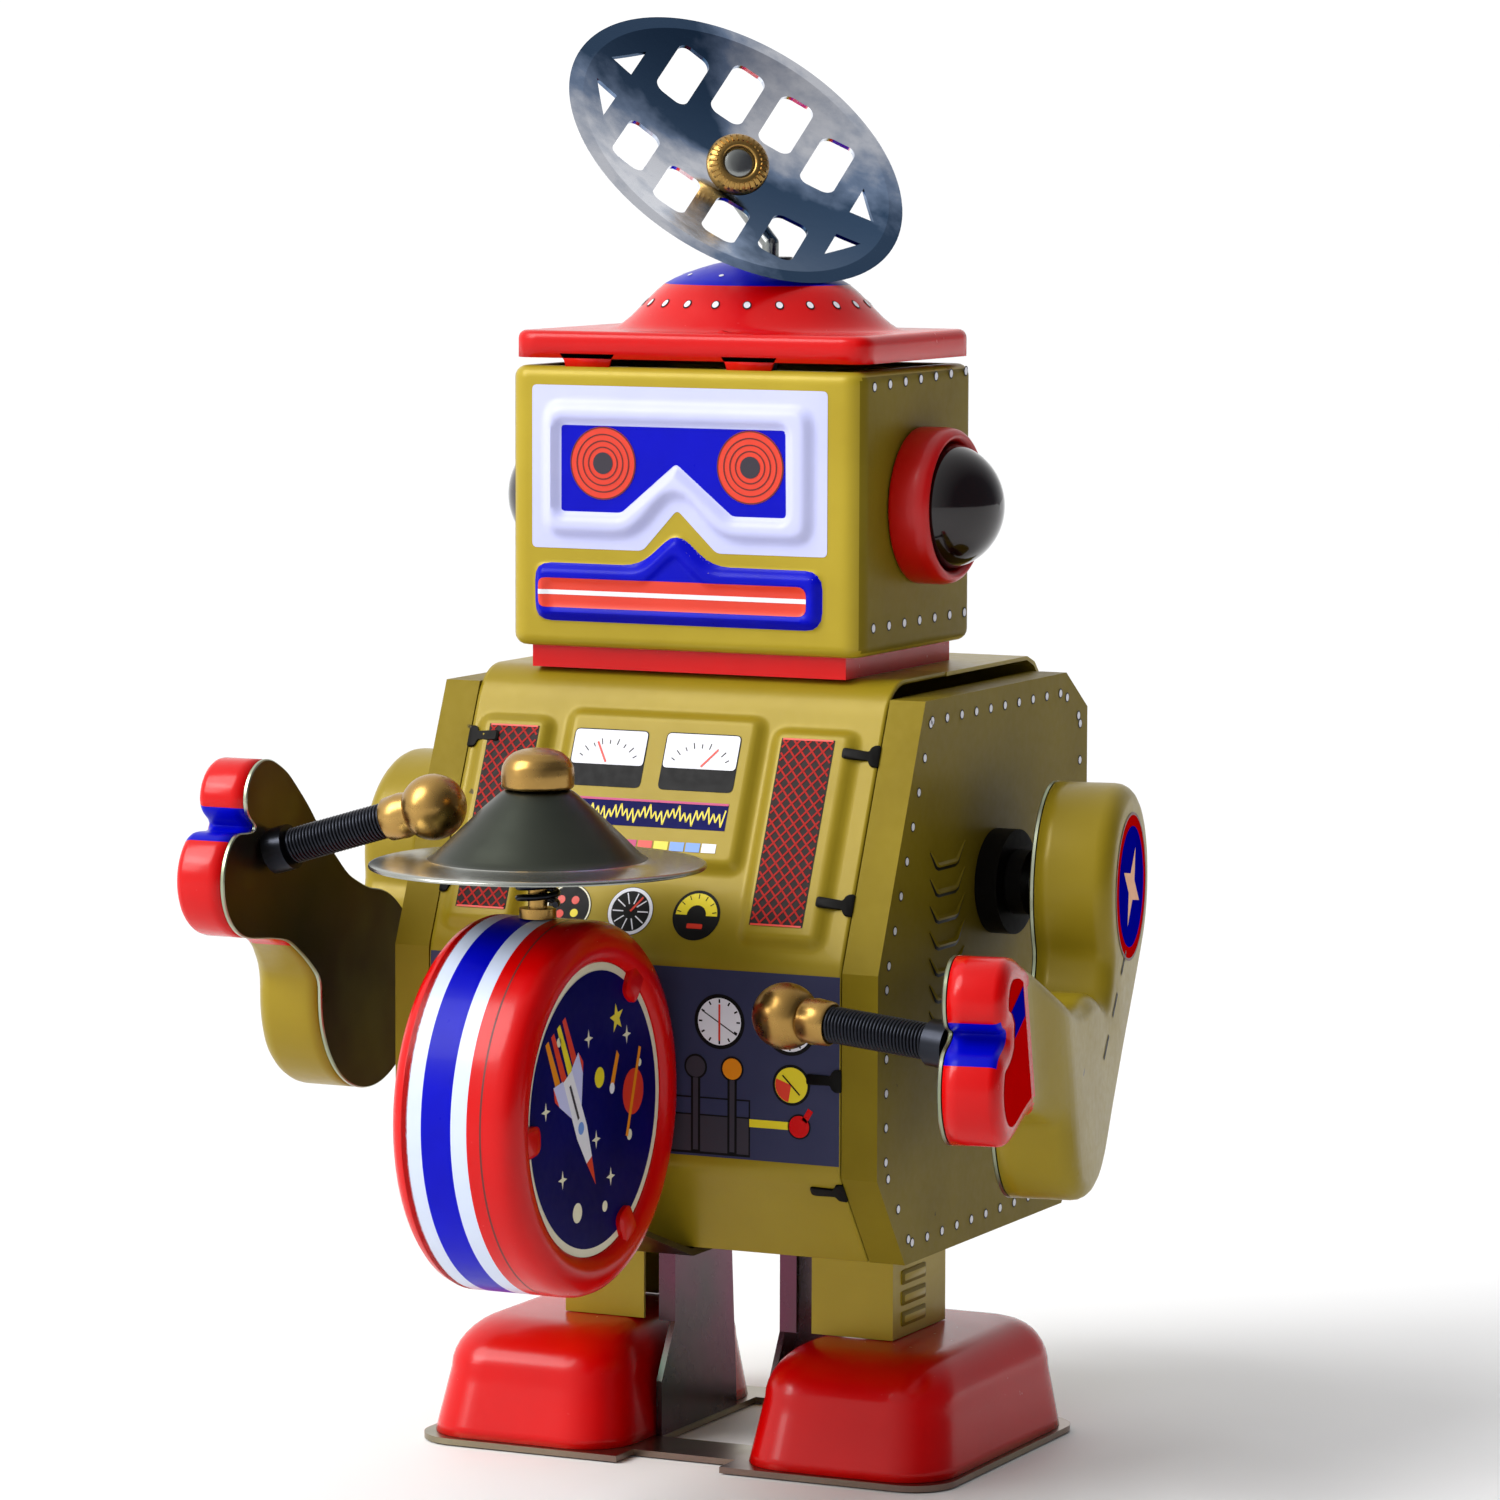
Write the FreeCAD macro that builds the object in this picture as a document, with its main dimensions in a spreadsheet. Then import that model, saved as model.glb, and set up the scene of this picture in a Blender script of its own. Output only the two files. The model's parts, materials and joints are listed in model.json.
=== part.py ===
import FreeCAD, Part
import math
import os
import re

import Sketcher
from FreeCAD import Placement, Rotation, Vector

# A wind-up tin robot that plays a drum and a cymbal.
#
# Frame: +X is the robot's left, -Y its front, +Z up. The origin is under the
# middle of the base plate's front strap, on the surface the toy stands on.
# The robot's own middle (its head and its wind-up motor) is robot_y behind that.
# Sketches give Y from the robot's middle, and each body's placement adds robot_y.

# alias, value (mm or degrees), what it is
SIZES = [
    ("robot_y", 12.5, "robot's middle behind the origin"),
    ("tin", 0.5, "sheet thickness of the tin pressings"),
    ("gap", 0.1, "clearance between neighbouring tin pieces"),
    # base plate
    ("plate_t", 0.8, "base plate thickness"),
    ("sole_out", 38.0, "base plate half width"),
    ("sole_in", 7.4, "half width of the plate's window"),
    ("sole_front", -21.8, "front edge of the soles"),
    ("sole_rear", 27.0, "rear edge of the soles"),
    ("strap_front", -17.0, "front strap, front edge"),
    ("strap_back", -8.0, "front strap, rear edge"),
    ("strap_rear", 20.5, "rear strap, front edge"),
    ("sole_corner", 6.0, "corner radius of the soles"),
    # shoes
    ("shoe_in", 8.6, "shoe, inner side"),
    ("shoe_out", 37.2, "shoe, outer side"),
    ("shoe_front", -20.8, "toe"),
    ("shoe_rear", 26.0, "heel"),
    ("shoe_height", 14.6, "height of the shoe"),
    ("shoe_corner", 7.0, "corner radius seen from above"),
    ("shoe_round", 5.5, "radius along the top"),
    # legs
    ("leg_in", 12.2, "leg cover, inner edge"),
    ("leg_out", 23.8, "leg cover, outer side"),
    ("leg_front", -4.0, "leg, front"),
    ("leg_rear", 13.0, "leg, rear"),
    ("leg_plate_in", 7.6, "zinc leg plate, inner face"),
    ("leg_plate_t", 0.8, "zinc leg plate thickness"),
    ("leg_plate_top", 42.6, "top of the zinc leg plate"),
    ("leg_flange", 2.4, "front flange of the zinc leg plate"),
    # body
    ("body_half", 34.1, "body half width"),
    ("pan_depth", 4.9, "depth of the side pans"),
    ("body_bottom", 29.5, "underside of the body"),
    ("body_top", 100.5, "top of the side pans"),
    ("crown_top", 102.6, "top of the body between the side pans"),
    ("apron_low", 41.5, "bottom of the upright front"),
    ("apron_high", 67.4, "foot of the sloping console"),
    ("front_bottom", -23.4, "front edge of the underside"),
    ("front_y", -32.2, "upright front"),
    ("front_top", -18.0, "top edge of the console"),
    ("back_bottom", 27.9, "rear edge of the underside"),
    ("back_y", 35.6, "upright back"),
    ("back_top", 28.2, "rear edge of the top"),
    ("back_low", 37.5, "bottom of the upright back"),
    ("back_high", 95.4, "top of the upright back"),
    # neck, head, lid
    ("neck_top", 105.4, "top of the neck collar"),
    ("neck_half", 22.3, "neck half width"),
    ("neck_deep", 16.4, "neck half depth"),
    ("head_half", 25.0, "head half width"),
    ("head_deep", 18.0, "head half depth"),
    ("head_top", 141.6, "top of the head"),
    ("head_corner", 3.0, "upright corner radius of the head"),
    ("emboss", 1.0, "height of the raised visor and mouth"),
    ("lid_half", 25.0, "lid half width"),
    ("lid_deep", 17.0, "lid half depth"),
    ("lid_low", 142.6, "lower edge of the lid's rim"),
    ("lid_top", 146.1, "top of the lid's flange"),
    ("dome_x", 1.5, "dome and dish shaft, off the middle"),
    ("dome_y", 1.0, "dome, off the middle"),
    ("dome_wide", 18.6, "dome half width"),
    ("dome_deep", 15.4, "dome half depth"),
    ("dome_top", 155.2, "top of the dome"),
    # ears
    ("ear_z", 124.0, "height of the ears"),
    ("ear_radius", 10.1, "ear ring radius"),
    ("ear_out", 30.6, "outer face of the ear ring"),
    ("ear_bore", 8.5, "bore of the ear ring"),
    ("ear_dome_radius", 8.2, "ear dome radius"),
    ("ear_dome_out", 36.4, "tip of the ear dome"),
    ("ear_sunk", 3.0, "how much less the right ear stands out"),
    # dish
    ("shaft_y", 5.0, "dish shaft, behind the middle"),
    ("shaft_radius", 1.1, "dish shaft radius"),
    ("hub_x", -4.86, "middle of the dish"),
    ("hub_z", 167.23, "middle of the dish"),
    ("pin_off", 1.6, "shaft's hole, off the middle of the dish"),
    ("dish_radius", 24.07, "dish radius"),
    ("dish_depth", 3.2, "depth of the dish"),
    ("dish_tilt", 45.28, "tilt of the dish from level"),
    ("dish_turn", -27.34, "bearing of the dish's tilt at rest"),
    ("eyelet_tilt", 72.6, "tilt of the eyelet and the shaft's end"),
    ("eyelet_turn", -53.9, "bearing of the eyelet's tilt at rest"),
    ("eyelet_rise", 3.2, "eyelet, in front of the shaft's hole"),
    ("eyelet_radius", 4.2, "eyelet radius"),
    ("slot_wide", 4.9, "dish slot width"),
    ("slot_long", 10.4, "dish slot length"),
    ("slot_turn", 42.0, "turn of the rows of slots in the dish"),
    # drum and cymbal
    ("drum_x", -1.4, "drum middle"),
    ("drum_y", -55.6, "drum axis"),
    ("drum_z", 52.0, "drum axis"),
    ("drum_radius", 23.3, "drum radius"),
    ("drum_half", 8.8, "half length of the drum"),
    ("drum_face", 18.3, "radius of the printed head"),
    ("post_radius", 1.2, "cymbal post radius"),
    ("seat_top", 76.6, "top of the brass seat"),
    ("cymbal_low", 82.5, "cymbal rim"),
    ("cymbal_radius", 20.9, "cymbal radius"),
    ("cymbal_top", 91.3, "top of the cymbal's cone"),
    ("cymbal_neck", 4.2, "radius at the top of the cymbal's cone"),
    ("nut_top", 96.4, "top of the cymbal nut"),
    # arms
    ("arm_y", 4.5, "arm axle"),
    ("arm_z", 75.4, "arm axle"),
    ("arm_in", 42.0, "inner face of the arm"),
    ("arm_deep", 10.6, "depth of the arm at the shoulder and elbow"),
    ("hand_deep", 7.8, "depth of the hand"),
    ("left_rest", -19.5, "left arm at rest, against the right arm"),
    ("left_splay", 10.5, "left arm bent outwards"),
    ("axle_radius", 1.5, "arm axle radius"),
    ("run", 0.05, "radial clearance of a running fit"),
    ("shoulder_radius", 6.8, "shoulder bush radius"),
    ("lever_in", 10.5, "inner end of the arm axle"),
    ("lever_reach", 12.6, "length of the lifter lever"),
    ("lever_rise", 5.1, "underside of the lever's finger, above the axle"),
    ("stick_radius", 2.3, "drumstick spring radius"),
    ("wire_radius", 0.35, "drumstick spring wire radius"),
    ("stick_long", 14.2, "visible length of the drumstick spring"),
    ("ball_radius", 4.2, "drumstick ball radius"),
    # motor
    ("motor_front", -10.0, "front face of the front motor plate"),
    ("motor_rear", 14.0, "rear face of the rear motor plate"),
    ("motor_t", 1.0, "motor plate thickness"),
    ("motor_x", 1.5, "the train, off the middle"),
    ("motor_half", 25.0, "motor plate half width"),
    ("lug_x", 20.0, "inner face of the lugs for the arm axles"),
    ("motor_low", 38.0, "bottom of the motor plates"),
    ("motor_high", 92.0, "top of the motor plates"),
    ("module", 0.5, "module of the going train"),
    ("great_teeth", 48, "teeth of the great wheel"),
    ("small_teeth", 12, "leaves of the second pinion"),
    ("second_teeth", 40, "teeth of the second wheel"),
    ("crank_teeth", 10, "leaves of the crank pinion"),
    ("fly_teeth", 8, "leaves of the governor pinion"),
    ("great_z", 56.0, "winding arbor"),
    ("second_x", -9.0, "second arbor, from the winding arbor"),
    ("second_z", 68.0, "second arbor"),
    ("crank_z", 76.675, "crank arbor"),
    ("fly_x", -19.4, "governor arbor, from the winding arbor"),
    ("fly_z", 62.0, "governor arbor"),
    ("crown_radius", 7.0, "pitch radius of the crown wheel"),
    ("crown_teeth", 20, "teeth of the crown wheel"),
    ("dish_teeth", 12, "leaves of the dish pinion"),
    ("dish_pinion", 4.2, "pitch radius of the dish pinion"),
    ("key_out", 58.5, "rear end of the winding key"),
]
ALIASES = {alias for alias, _, _ in SIZES}
SIDES = (("left", 1), ("right", -1))

doc = FreeCAD.newDocument("RobotDrummer")
sheet = doc.addObject("Spreadsheet::Sheet", "Sizes")
for row, (alias, value, meaning) in enumerate(SIZES, start=1):
    sheet.set(f"A{row}", meaning)
    sheet.set(f"B{row}", str(value))
    sheet.setAlias(f"B{row}", alias)
doc.recompute()


def size(alias):
    """The number in a cell of the sheet."""
    return float(sheet.get(alias))


def cells(text):
    """An expression in aliases, as FreeCAD writes it: body_half - tin, and so on."""
    return re.sub(
        r"[a-z][a-z_]*",
        lambda word: f"Sizes.{word.group()}" if word.group() in ALIASES else word.group(),
        str(text),
    )


parts = []


def keep(part, x="0", y="0", z="0", turn=None):
    """Place a sub-part: x, y and z are expressions, and y counts from the robot's middle."""
    if turn is not None:
        part.Placement = Placement(Vector(0, 0, 0), turn)
    part.setExpression("Placement.Base.x", cells(x))
    part.setExpression("Placement.Base.y", cells(f"robot_y + {y}"))
    part.setExpression("Placement.Base.z", cells(z))
    parts.append(part)
    return part


def new_body(label, x="0", y="0", z="0", turn=None):
    body = doc.addObject("PartDesign::Body", label)
    body.Label = label
    return keep(body, x, y, z, turn)


def sketch_on(body, role, offset="0"):
    """A sketch on one of the body's own planes, moved along the plane's normal."""
    plane = next(item for item in body.Origin.OriginFeatures if item.Role == role)
    sketch = body.newObject("Sketcher::SketchObject", f"{body.Name}_sketch")
    sketch.AttachmentSupport = (plane, "")
    sketch.MapMode = "FlatFace"
    sketch.setExpression("AttachmentOffset.Base.z", cells(offset))
    return sketch


def pin_point(sketch, geometry, point, across, up):
    """Hold one point at two expressions, measured from the sketch's origin."""
    for kind, text in (("DistanceX", across), ("DistanceY", up)):
        index = sketch.addConstraint(Sketcher.Constraint(kind, geometry, point, 1.0))
        sketch.setExpression(f"Constraints[{index}]", cells(text))


def draw_polygon(sketch, corners):
    count = len(corners)
    first = sketch.GeometryCount
    turn = 2 * math.pi / count
    ring = [Vector(math.cos(turn * k), math.sin(turn * k), 0) for k in range(count)]
    for k in range(count):
        sketch.addGeometry(Part.LineSegment(ring[k], ring[(k + 1) % count]))
    for k in range(count):
        after = first + (k + 1) % count
        sketch.addConstraint(Sketcher.Constraint("Coincident", first + k, 2, after, 1))
    for k, (across, up) in enumerate(corners):
        pin_point(sketch, first + k, 1, across, up)
    return sketch


def draw_circle(sketch, across, up, radius):
    circle = sketch.addGeometry(Part.Circle(Vector(0, 0, 0), Vector(0, 0, 1), 1.0))
    pin_point(sketch, circle, 3, across, up)
    index = sketch.addConstraint(Sketcher.Constraint("Radius", circle, 1.0))
    sketch.setExpression(f"Constraints[{index}]", cells(radius))
    return sketch


def rectangle(low_across, low_up, high_across, high_up):
    return [
        (low_across, low_up),
        (high_across, low_up),
        (high_across, high_up),
        (low_across, high_up),
    ]


def pad(body, sketch, length, reverse=False):
    feature = body.newObject("PartDesign::Pad", f"{body.Name}_pad")
    feature.Profile = sketch
    feature.setExpression("Length", cells(length))
    feature.Reversed = reverse
    return feature


def pocket(body, sketch, length, reverse=False):
    feature = body.newObject("PartDesign::Pocket", f"{body.Name}_pocket")
    feature.Profile = sketch
    feature.setExpression("Length", cells(length))
    feature.Reversed = reverse
    return feature


def revolve(body, sketch, axis="V_Axis"):
    """Turn a sketch about its own vertical or horizontal axis."""
    feature = body.newObject("PartDesign::Revolution", f"{body.Name}_turned")
    feature.Profile = sketch
    feature.ReferenceAxis = (sketch, [axis])
    feature.Angle = 360
    return feature


def block(body, role, offset, corners, length, reverse=False):
    """A padded polygon."""
    return pad(body, draw_polygon(sketch_on(body, role, offset), corners), length, reverse)


def disc(body, role, offset, across, up, radius, length, reverse=False):
    """A padded circle."""
    sketch = draw_circle(sketch_on(body, role, offset), across, up, radius)
    return pad(body, sketch, length, reverse)


def edges_where(feature, test):
    return [f"Edge{k + 1}" for k, edge in enumerate(feature.Shape.Edges) if test(edge)]


def faces_facing(feature, direction):
    """The flat faces whose outward normal is the given direction."""
    found = []
    for k, face in enumerate(feature.Shape.Faces):
        flat = face.Surface.TypeId == "Part::GeomPlane"
        if flat and face.normalAt(0, 0).getAngle(direction) < 0.01:
            found.append(f"Face{k + 1}")
    return found


def is_upright(edge):
    ends = [vertex.Point for vertex in edge.Vertexes]
    return len(ends) == 2 and (ends[1] - ends[0]).cross(Vector(0, 0, 1)).Length < 1e-6


def fillet(body, feature, edges, radius):
    rounded = body.newObject("PartDesign::Fillet", f"{body.Name}_fillet")
    rounded.Base = (feature, edges)
    rounded.setExpression("Radius", cells(radius))
    doc.recompute()
    return rounded


def hollow(body, feature, *open_towards):
    """Leave only a tin wall, open on the flat faces that face the given ways."""
    shell = body.newObject("PartDesign::Thickness", f"{body.Name}_shell")
    openings = [face for way in open_towards for face in faces_facing(feature, way)]
    shell.Base = (feature, openings)
    shell.setExpression("Value", cells("tin"))
    shell.Reversed = True
    doc.recompute()
    return shell


def set_shape(label, shape, x="0", y="0", z="0", turn=None):
    """A sub-part whose shape is worked out below from the sheet's sizes."""
    part = doc.addObject("Part::Feature", label)
    part.Label = label
    part.Shape = shape
    return keep(part, x, y, z, turn)


def signed(sign, text):
    """An X expression on the left (1) or the right (-1) side."""
    return f"{sign} * ({text})"


# ---------------------------------------------------------------- base and legs


def base_plate():
    body = new_body("base_plate")
    outline = rectangle("-sole_out", "sole_front", "sole_out", "sole_rear")
    plate = block(body, "XY_Plane", "0", outline, "plate_t")
    doc.recompute()
    plate = fillet(body, plate, edges_where(plate, is_upright), "sole_corner")
    window = rectangle("-sole_in", "strap_back", "sole_in", "strap_rear")
    toe_notch = rectangle("-sole_in", "sole_front - 1", "sole_in", "strap_front")
    for opening in (window, toe_notch):
        sketch = draw_polygon(sketch_on(body, "XY_Plane", "plate_t"), opening)
        pocket(body, sketch, "plate_t")


def shoe(side, sign):
    body = new_body(f"shoe_{side}")
    outline = rectangle(
        signed(sign, "shoe_in"), "shoe_front", signed(sign, "shoe_out"), "shoe_rear"
    )
    loaf = block(body, "XY_Plane", "plate_t", outline, "shoe_height")
    doc.recompute()
    loaf = fillet(body, loaf, edges_where(loaf, is_upright), "shoe_corner")
    top = size("plate_t") + size("shoe_height")
    rim = edges_where(loaf, lambda edge: abs(edge.BoundBox.ZMin - top) < 1e-6)
    loaf = fillet(body, loaf, rim, "shoe_round")
    hollow(body, loaf, Vector(0, 0, -1))


def leg_cover(side, sign):
    """A channel that is open towards the robot's middle."""
    body = new_body(f"leg_cover_{side}")
    low = "plate_t + shoe_height + gap"
    height = "body_bottom - plate_t - shoe_height - 2 * gap"
    outer = rectangle(signed(sign, "leg_in"), "leg_front", signed(sign, "leg_out"), "leg_rear")
    block(body, "XY_Plane", low, outer, height)
    inner = rectangle(
        signed(sign, "leg_in - 1"),
        "leg_front + tin",
        signed(sign, "leg_out - tin"),
        "leg_rear - tin",
    )
    sketch = draw_polygon(sketch_on(body, "XY_Plane", "body_bottom - gap"), inner)
    pocket(body, sketch, height)


def leg_plate(side, sign):
    """Zinc plate that stands on the base; its broad top is held between the motor plates."""
    body = new_body(f"leg_plate_{side}")
    profile = [
        ("strap_back", "plate_t"),
        ("leg_rear + 2", "plate_t"),
        ("leg_rear", "body_bottom - 2"),
        ("leg_rear - 1", "body_bottom - 2"),
        ("leg_rear - 1", "motor_low"),
        ("motor_rear - motor_t", "motor_low"),
        ("motor_rear - motor_t", "leg_plate_top"),
        ("motor_front + motor_t", "leg_plate_top"),
        ("motor_front + motor_t", "motor_low"),
        ("leg_front + 1", "motor_low"),
        ("leg_front", "body_bottom - 2"),
        ("leg_front", "plate_t + shoe_height"),
        ("strap_back", "plate_t + shoe_height / 2"),
    ]
    block(body, "YZ_Plane", signed(sign, "leg_plate_in"), profile, "leg_plate_t", sign < 0)
    flange = rectangle(
        signed(sign, "leg_plate_in"),
        "plate_t + shoe_height",
        signed(sign, "leg_plate_in + leg_flange"),
        "body_bottom - 2",
    )
    block(body, "XZ_Plane", "-leg_front", flange, "leg_plate_t", reverse=True)


# ------------------------------------------------------------------------- body

BODY_OUTLINE = [
    ("front_top", "body_top"),
    ("front_y", "apron_high"),
    ("front_y", "apron_low"),
    ("front_bottom", "body_bottom"),
    ("back_bottom", "body_bottom"),
    ("back_y", "back_low"),
    ("back_y", "back_high"),
    ("back_top", "body_top"),
]


def body_side(side, sign):
    """A pan whose rim wraps round onto the front, top, back and bottom."""
    body = new_body(f"body_side_{side}")
    start = signed(sign, "body_half - pan_depth")
    pan = block(body, "YZ_Plane", start, BODY_OUTLINE, "pan_depth", sign < 0)
    doc.recompute()
    hollow(body, pan, Vector(-sign, 0, 0))
    sketch = draw_circle(
        sketch_on(body, "YZ_Plane", signed(sign, "body_half")),
        "arm_y", "arm_z", "axle_radius + 1.5",
    )
    pocket(body, sketch, "2 * tin", reverse=sign < 0)


def wrap(label, outer, inner):
    """A strip of tin between the two side pans, given by its outer and inner path."""
    body = new_body(label)
    width = "body_half - pan_depth - gap"
    block(body, "YZ_Plane", f"-({width})", outer + inner[::-1], f"2 * ({width})")
    return body


def body_front_panel():
    outer = [
        ("-gap", "crown_top"),
        ("front_top + 3.5", "crown_top"),
        ("front_top + 1.4", "crown_top - 0.6"),
        ("front_top + 0.1", "crown_top - 1.9"),
        ("front_top - 1.2", "body_top - 2.8"),
        ("front_y", "apron_high"),
        ("front_y", "apron_low"),
        ("front_bottom", "body_bottom"),
    ]
    inner = [
        ("-gap", "crown_top - tin"),
        ("front_top + 3.4", "crown_top - tin"),
        ("front_top + 1.7", "crown_top - 0.6 - 0.9 * tin"),
        ("front_top + 0.5", "crown_top - 1.9 - 0.6 * tin"),
        ("front_top - 1.2 + tin", "body_top - 2.8 - 0.2 * tin"),
        ("front_y + tin", "apron_high - 0.2 * tin"),
        ("front_y + tin", "apron_low + 0.3 * tin"),
        ("front_bottom + 1.3 * tin", "body_bottom + tin"),
    ]
    wrap("body_front_panel", outer, inner)


def body_back_panel():
    outer = [
        ("0", "crown_top"),
        ("back_top - 1.5", "crown_top"),
        ("back_top + 1", "crown_top - 0.9"),
        ("back_y", "back_high"),
        ("back_y", "back_low"),
        ("back_bottom", "body_bottom"),
    ]
    inner = [
        ("0", "crown_top - tin"),
        ("back_top - 1.6", "crown_top - tin"),
        ("back_top + 0.7", "crown_top - 0.9 - tin"),
        ("back_y - tin", "back_high - 0.4 * tin"),
        ("back_y - tin", "back_low + 0.4 * tin"),
        ("back_bottom - 1.3 * tin", "body_bottom + tin"),
    ]
    body = wrap("body_back_panel", outer, inner)
    key_hole = draw_circle(sketch_on(body, "XZ_Plane", "-back_y"), "motor_x", "great_z", "2.6")
    pocket(body, key_hole, "2 * tin", reverse=True)
    shaft_hole = draw_circle(
        sketch_on(body, "XY_Plane", "crown_top"), "dome_x", "shaft_y", "shaft_radius + 2"
    )
    pocket(body, shaft_hole, "2 * tin")


def body_bottom_panel():
    """The floor of the body, with a slot for each zinc leg plate."""
    body = new_body("body_bottom_panel")
    half = "(body_half - pan_depth - gap)"
    floor = rectangle(f"-{half}", "front_bottom + 2 * tin", half, "back_bottom - 2 * tin")
    block(body, "XY_Plane", "body_bottom", floor, "tin")
    for _, sign in SIDES:
        slot = rectangle(
            signed(sign, "leg_plate_in - 4 * gap"),
            "leg_front",
            signed(sign, "leg_plate_in + leg_plate_t + 4 * gap"),
            "leg_rear",
        )
        sketch = draw_polygon(sketch_on(body, "XY_Plane", "body_bottom + tin"), slot)
        pocket(body, sketch, "2 * tin")


# ------------------------------------------------------------------------- head


def neck_collar():
    body = new_body("neck_collar")
    outer = rectangle("-neck_half", "-neck_deep", "neck_half", "neck_deep")
    inner = rectangle(
        "-(neck_half - 4 * tin)", "-(neck_deep - 4 * tin)", "neck_half - 4 * tin",
        "neck_deep - 4 * tin",
    )
    sketch = sketch_on(body, "XY_Plane", "crown_top")
    draw_polygon(sketch, outer)
    draw_polygon(sketch, inner)
    pad(body, sketch, "neck_top - crown_top")


def head_shell():
    """One strip bent round four corners, with the visor and the mouth pressed outwards."""
    body = new_body("head_shell")
    outline = rectangle("-head_half", "-head_deep", "head_half", "head_deep")
    box = block(body, "XY_Plane", "neck_top", outline, "head_top - neck_top")
    doc.recompute()
    box = fillet(body, box, edges_where(box, is_upright), "head_corner")
    hollow(body, box, Vector(0, 0, 1), Vector(0, 0, -1))
    visor = [
        ("-21.5", "139.2"),
        ("20.4", "139.2"),
        ("20.4", "118.2"),
        ("4.9", "118.2"),
        ("-0.7", "123.6"),
        ("-6.0", "118.2"),
        ("-21.5", "118.2"),
    ]
    mouth = [
        ("-21.0", "116.4"),
        ("-6.0", "116.4"),
        ("-0.7", "121.2"),
        ("4.4", "116.4"),
        ("19.9", "116.4"),
        ("19.9", "108.6"),
        ("-21.0", "108.6"),
    ]
    for raised in (visor, mouth):
        block(body, "XZ_Plane", "head_deep - tin", raised, "emboss + tin")
    rivet_hole = draw_circle(sketch_on(body, "YZ_Plane", "head_half"), "0", "ear_z", "3")
    pocket(body, rivet_hole, "2 * head_half")


def head_lid():
    """A flanged lid with a shallow dome pressed in it."""
    body = new_body("head_lid")
    flange = rectangle("-lid_half", "-lid_deep", "lid_half", "lid_deep")
    slab = block(body, "XY_Plane", "lid_low", flange, "lid_top - lid_low")
    doc.recompute()
    slab = fillet(body, slab, edges_where(slab, is_upright), "head_corner")
    top = edges_where(slab, lambda edge: abs(edge.BoundBox.ZMin - size("lid_top")) < 1e-6)
    slab = fillet(body, slab, top, "2.5 * tin")
    hollow(body, slab, Vector(0, 0, -1))
    for sign in (1, -1):
        for place in ("-14", "12"):
            tab = rectangle(
                f"{place} - 2.4", "lid_low - 2", f"{place} + 2.4", "lid_low + 1"
            )
            offset = "lid_deep - tin" if sign > 0 else "-lid_deep"
            block(body, "XZ_Plane", offset, tab, "tin")
    sketch = draw_circle(sketch_on(body, "XY_Plane", "lid_top"), "dome_x", "dome_y", "8")
    pocket(body, sketch, "2 * tin")


def dome():
    """An oval dome over the lid, with a hole for the dish shaft at its top."""
    wide, deep = size("dome_wide"), size("dome_deep")
    height = size("dome_top") - size("lid_top")
    ball_radius = (wide ** 2 + height ** 2) / (2 * height)

    def cap(radius):
        ball = Part.makeSphere(radius, Vector(0, 0, height - ball_radius))
        return ball.common(Part.makeBox(100, 100, 50, Vector(-50, -50, 0)))

    shell = cap(ball_radius).cut(cap(ball_radius - size("tin")))
    squash = FreeCAD.Matrix()
    squash.scale(1, deep / wide, 1)
    shell = shell.transformGeometry(squash)
    hole = Part.makeCylinder(size("shaft_radius") + 2.0, 50,
                             Vector(0, size("shaft_y") - size("dome_y"), 0))
    set_shape("lid_dome", shell.cut(hole), "dome_x", "dome_y", "lid_top")


def ear(side, sign):
    """A moulded ring with a dark dome set in it."""
    sunk = {"left": 0, "right": 1}[side]
    ring = new_body(f"ear_ring_{side}")
    sketch = sketch_on(ring, "YZ_Plane", signed(sign, "head_half + gap"))
    draw_circle(sketch, "0", "ear_z", "ear_radius")
    draw_circle(sketch, "0", "ear_z", "ear_bore")
    body = pad(ring, sketch, f"ear_out - {sunk} * ear_sunk - head_half - gap", sign < 0)
    doc.recompute()
    out = (size("ear_out") - sunk * size("ear_sunk")) * sign
    rim = edges_where(
        body,
        lambda edge: abs(edge.CenterOfMass.x - out) < 1e-6
        and edge.Length > 2 * math.pi * size("ear_bore") + 1,
    )
    fillet(ring, body, rim, "1")
    glass = new_body(f"ear_dome_{side}")
    seat = disc(glass, "YZ_Plane", signed(sign, "head_half + gap"), "0", "ear_z",
                "ear_dome_radius", f"ear_dome_out - {sunk} * ear_sunk - head_half - gap", sign < 0)
    doc.recompute()
    tip = (size("ear_dome_out") - sunk * size("ear_sunk")) * sign
    rim = edges_where(seat, lambda edge: abs(edge.CenterOfMass.x - tip) < 1e-6)
    fillet(glass, seat, rim, "ear_dome_radius - 1.5")


# ------------------------------------------------------------------------- dish


def dish_frame():
    """The turn that takes +Z to the dish's tilted axis."""
    tilt = Rotation(Vector(0, 1, 0), size("dish_tilt"))
    return Rotation(Vector(0, 0, 1), size("dish_turn")).multiply(tilt)


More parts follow.
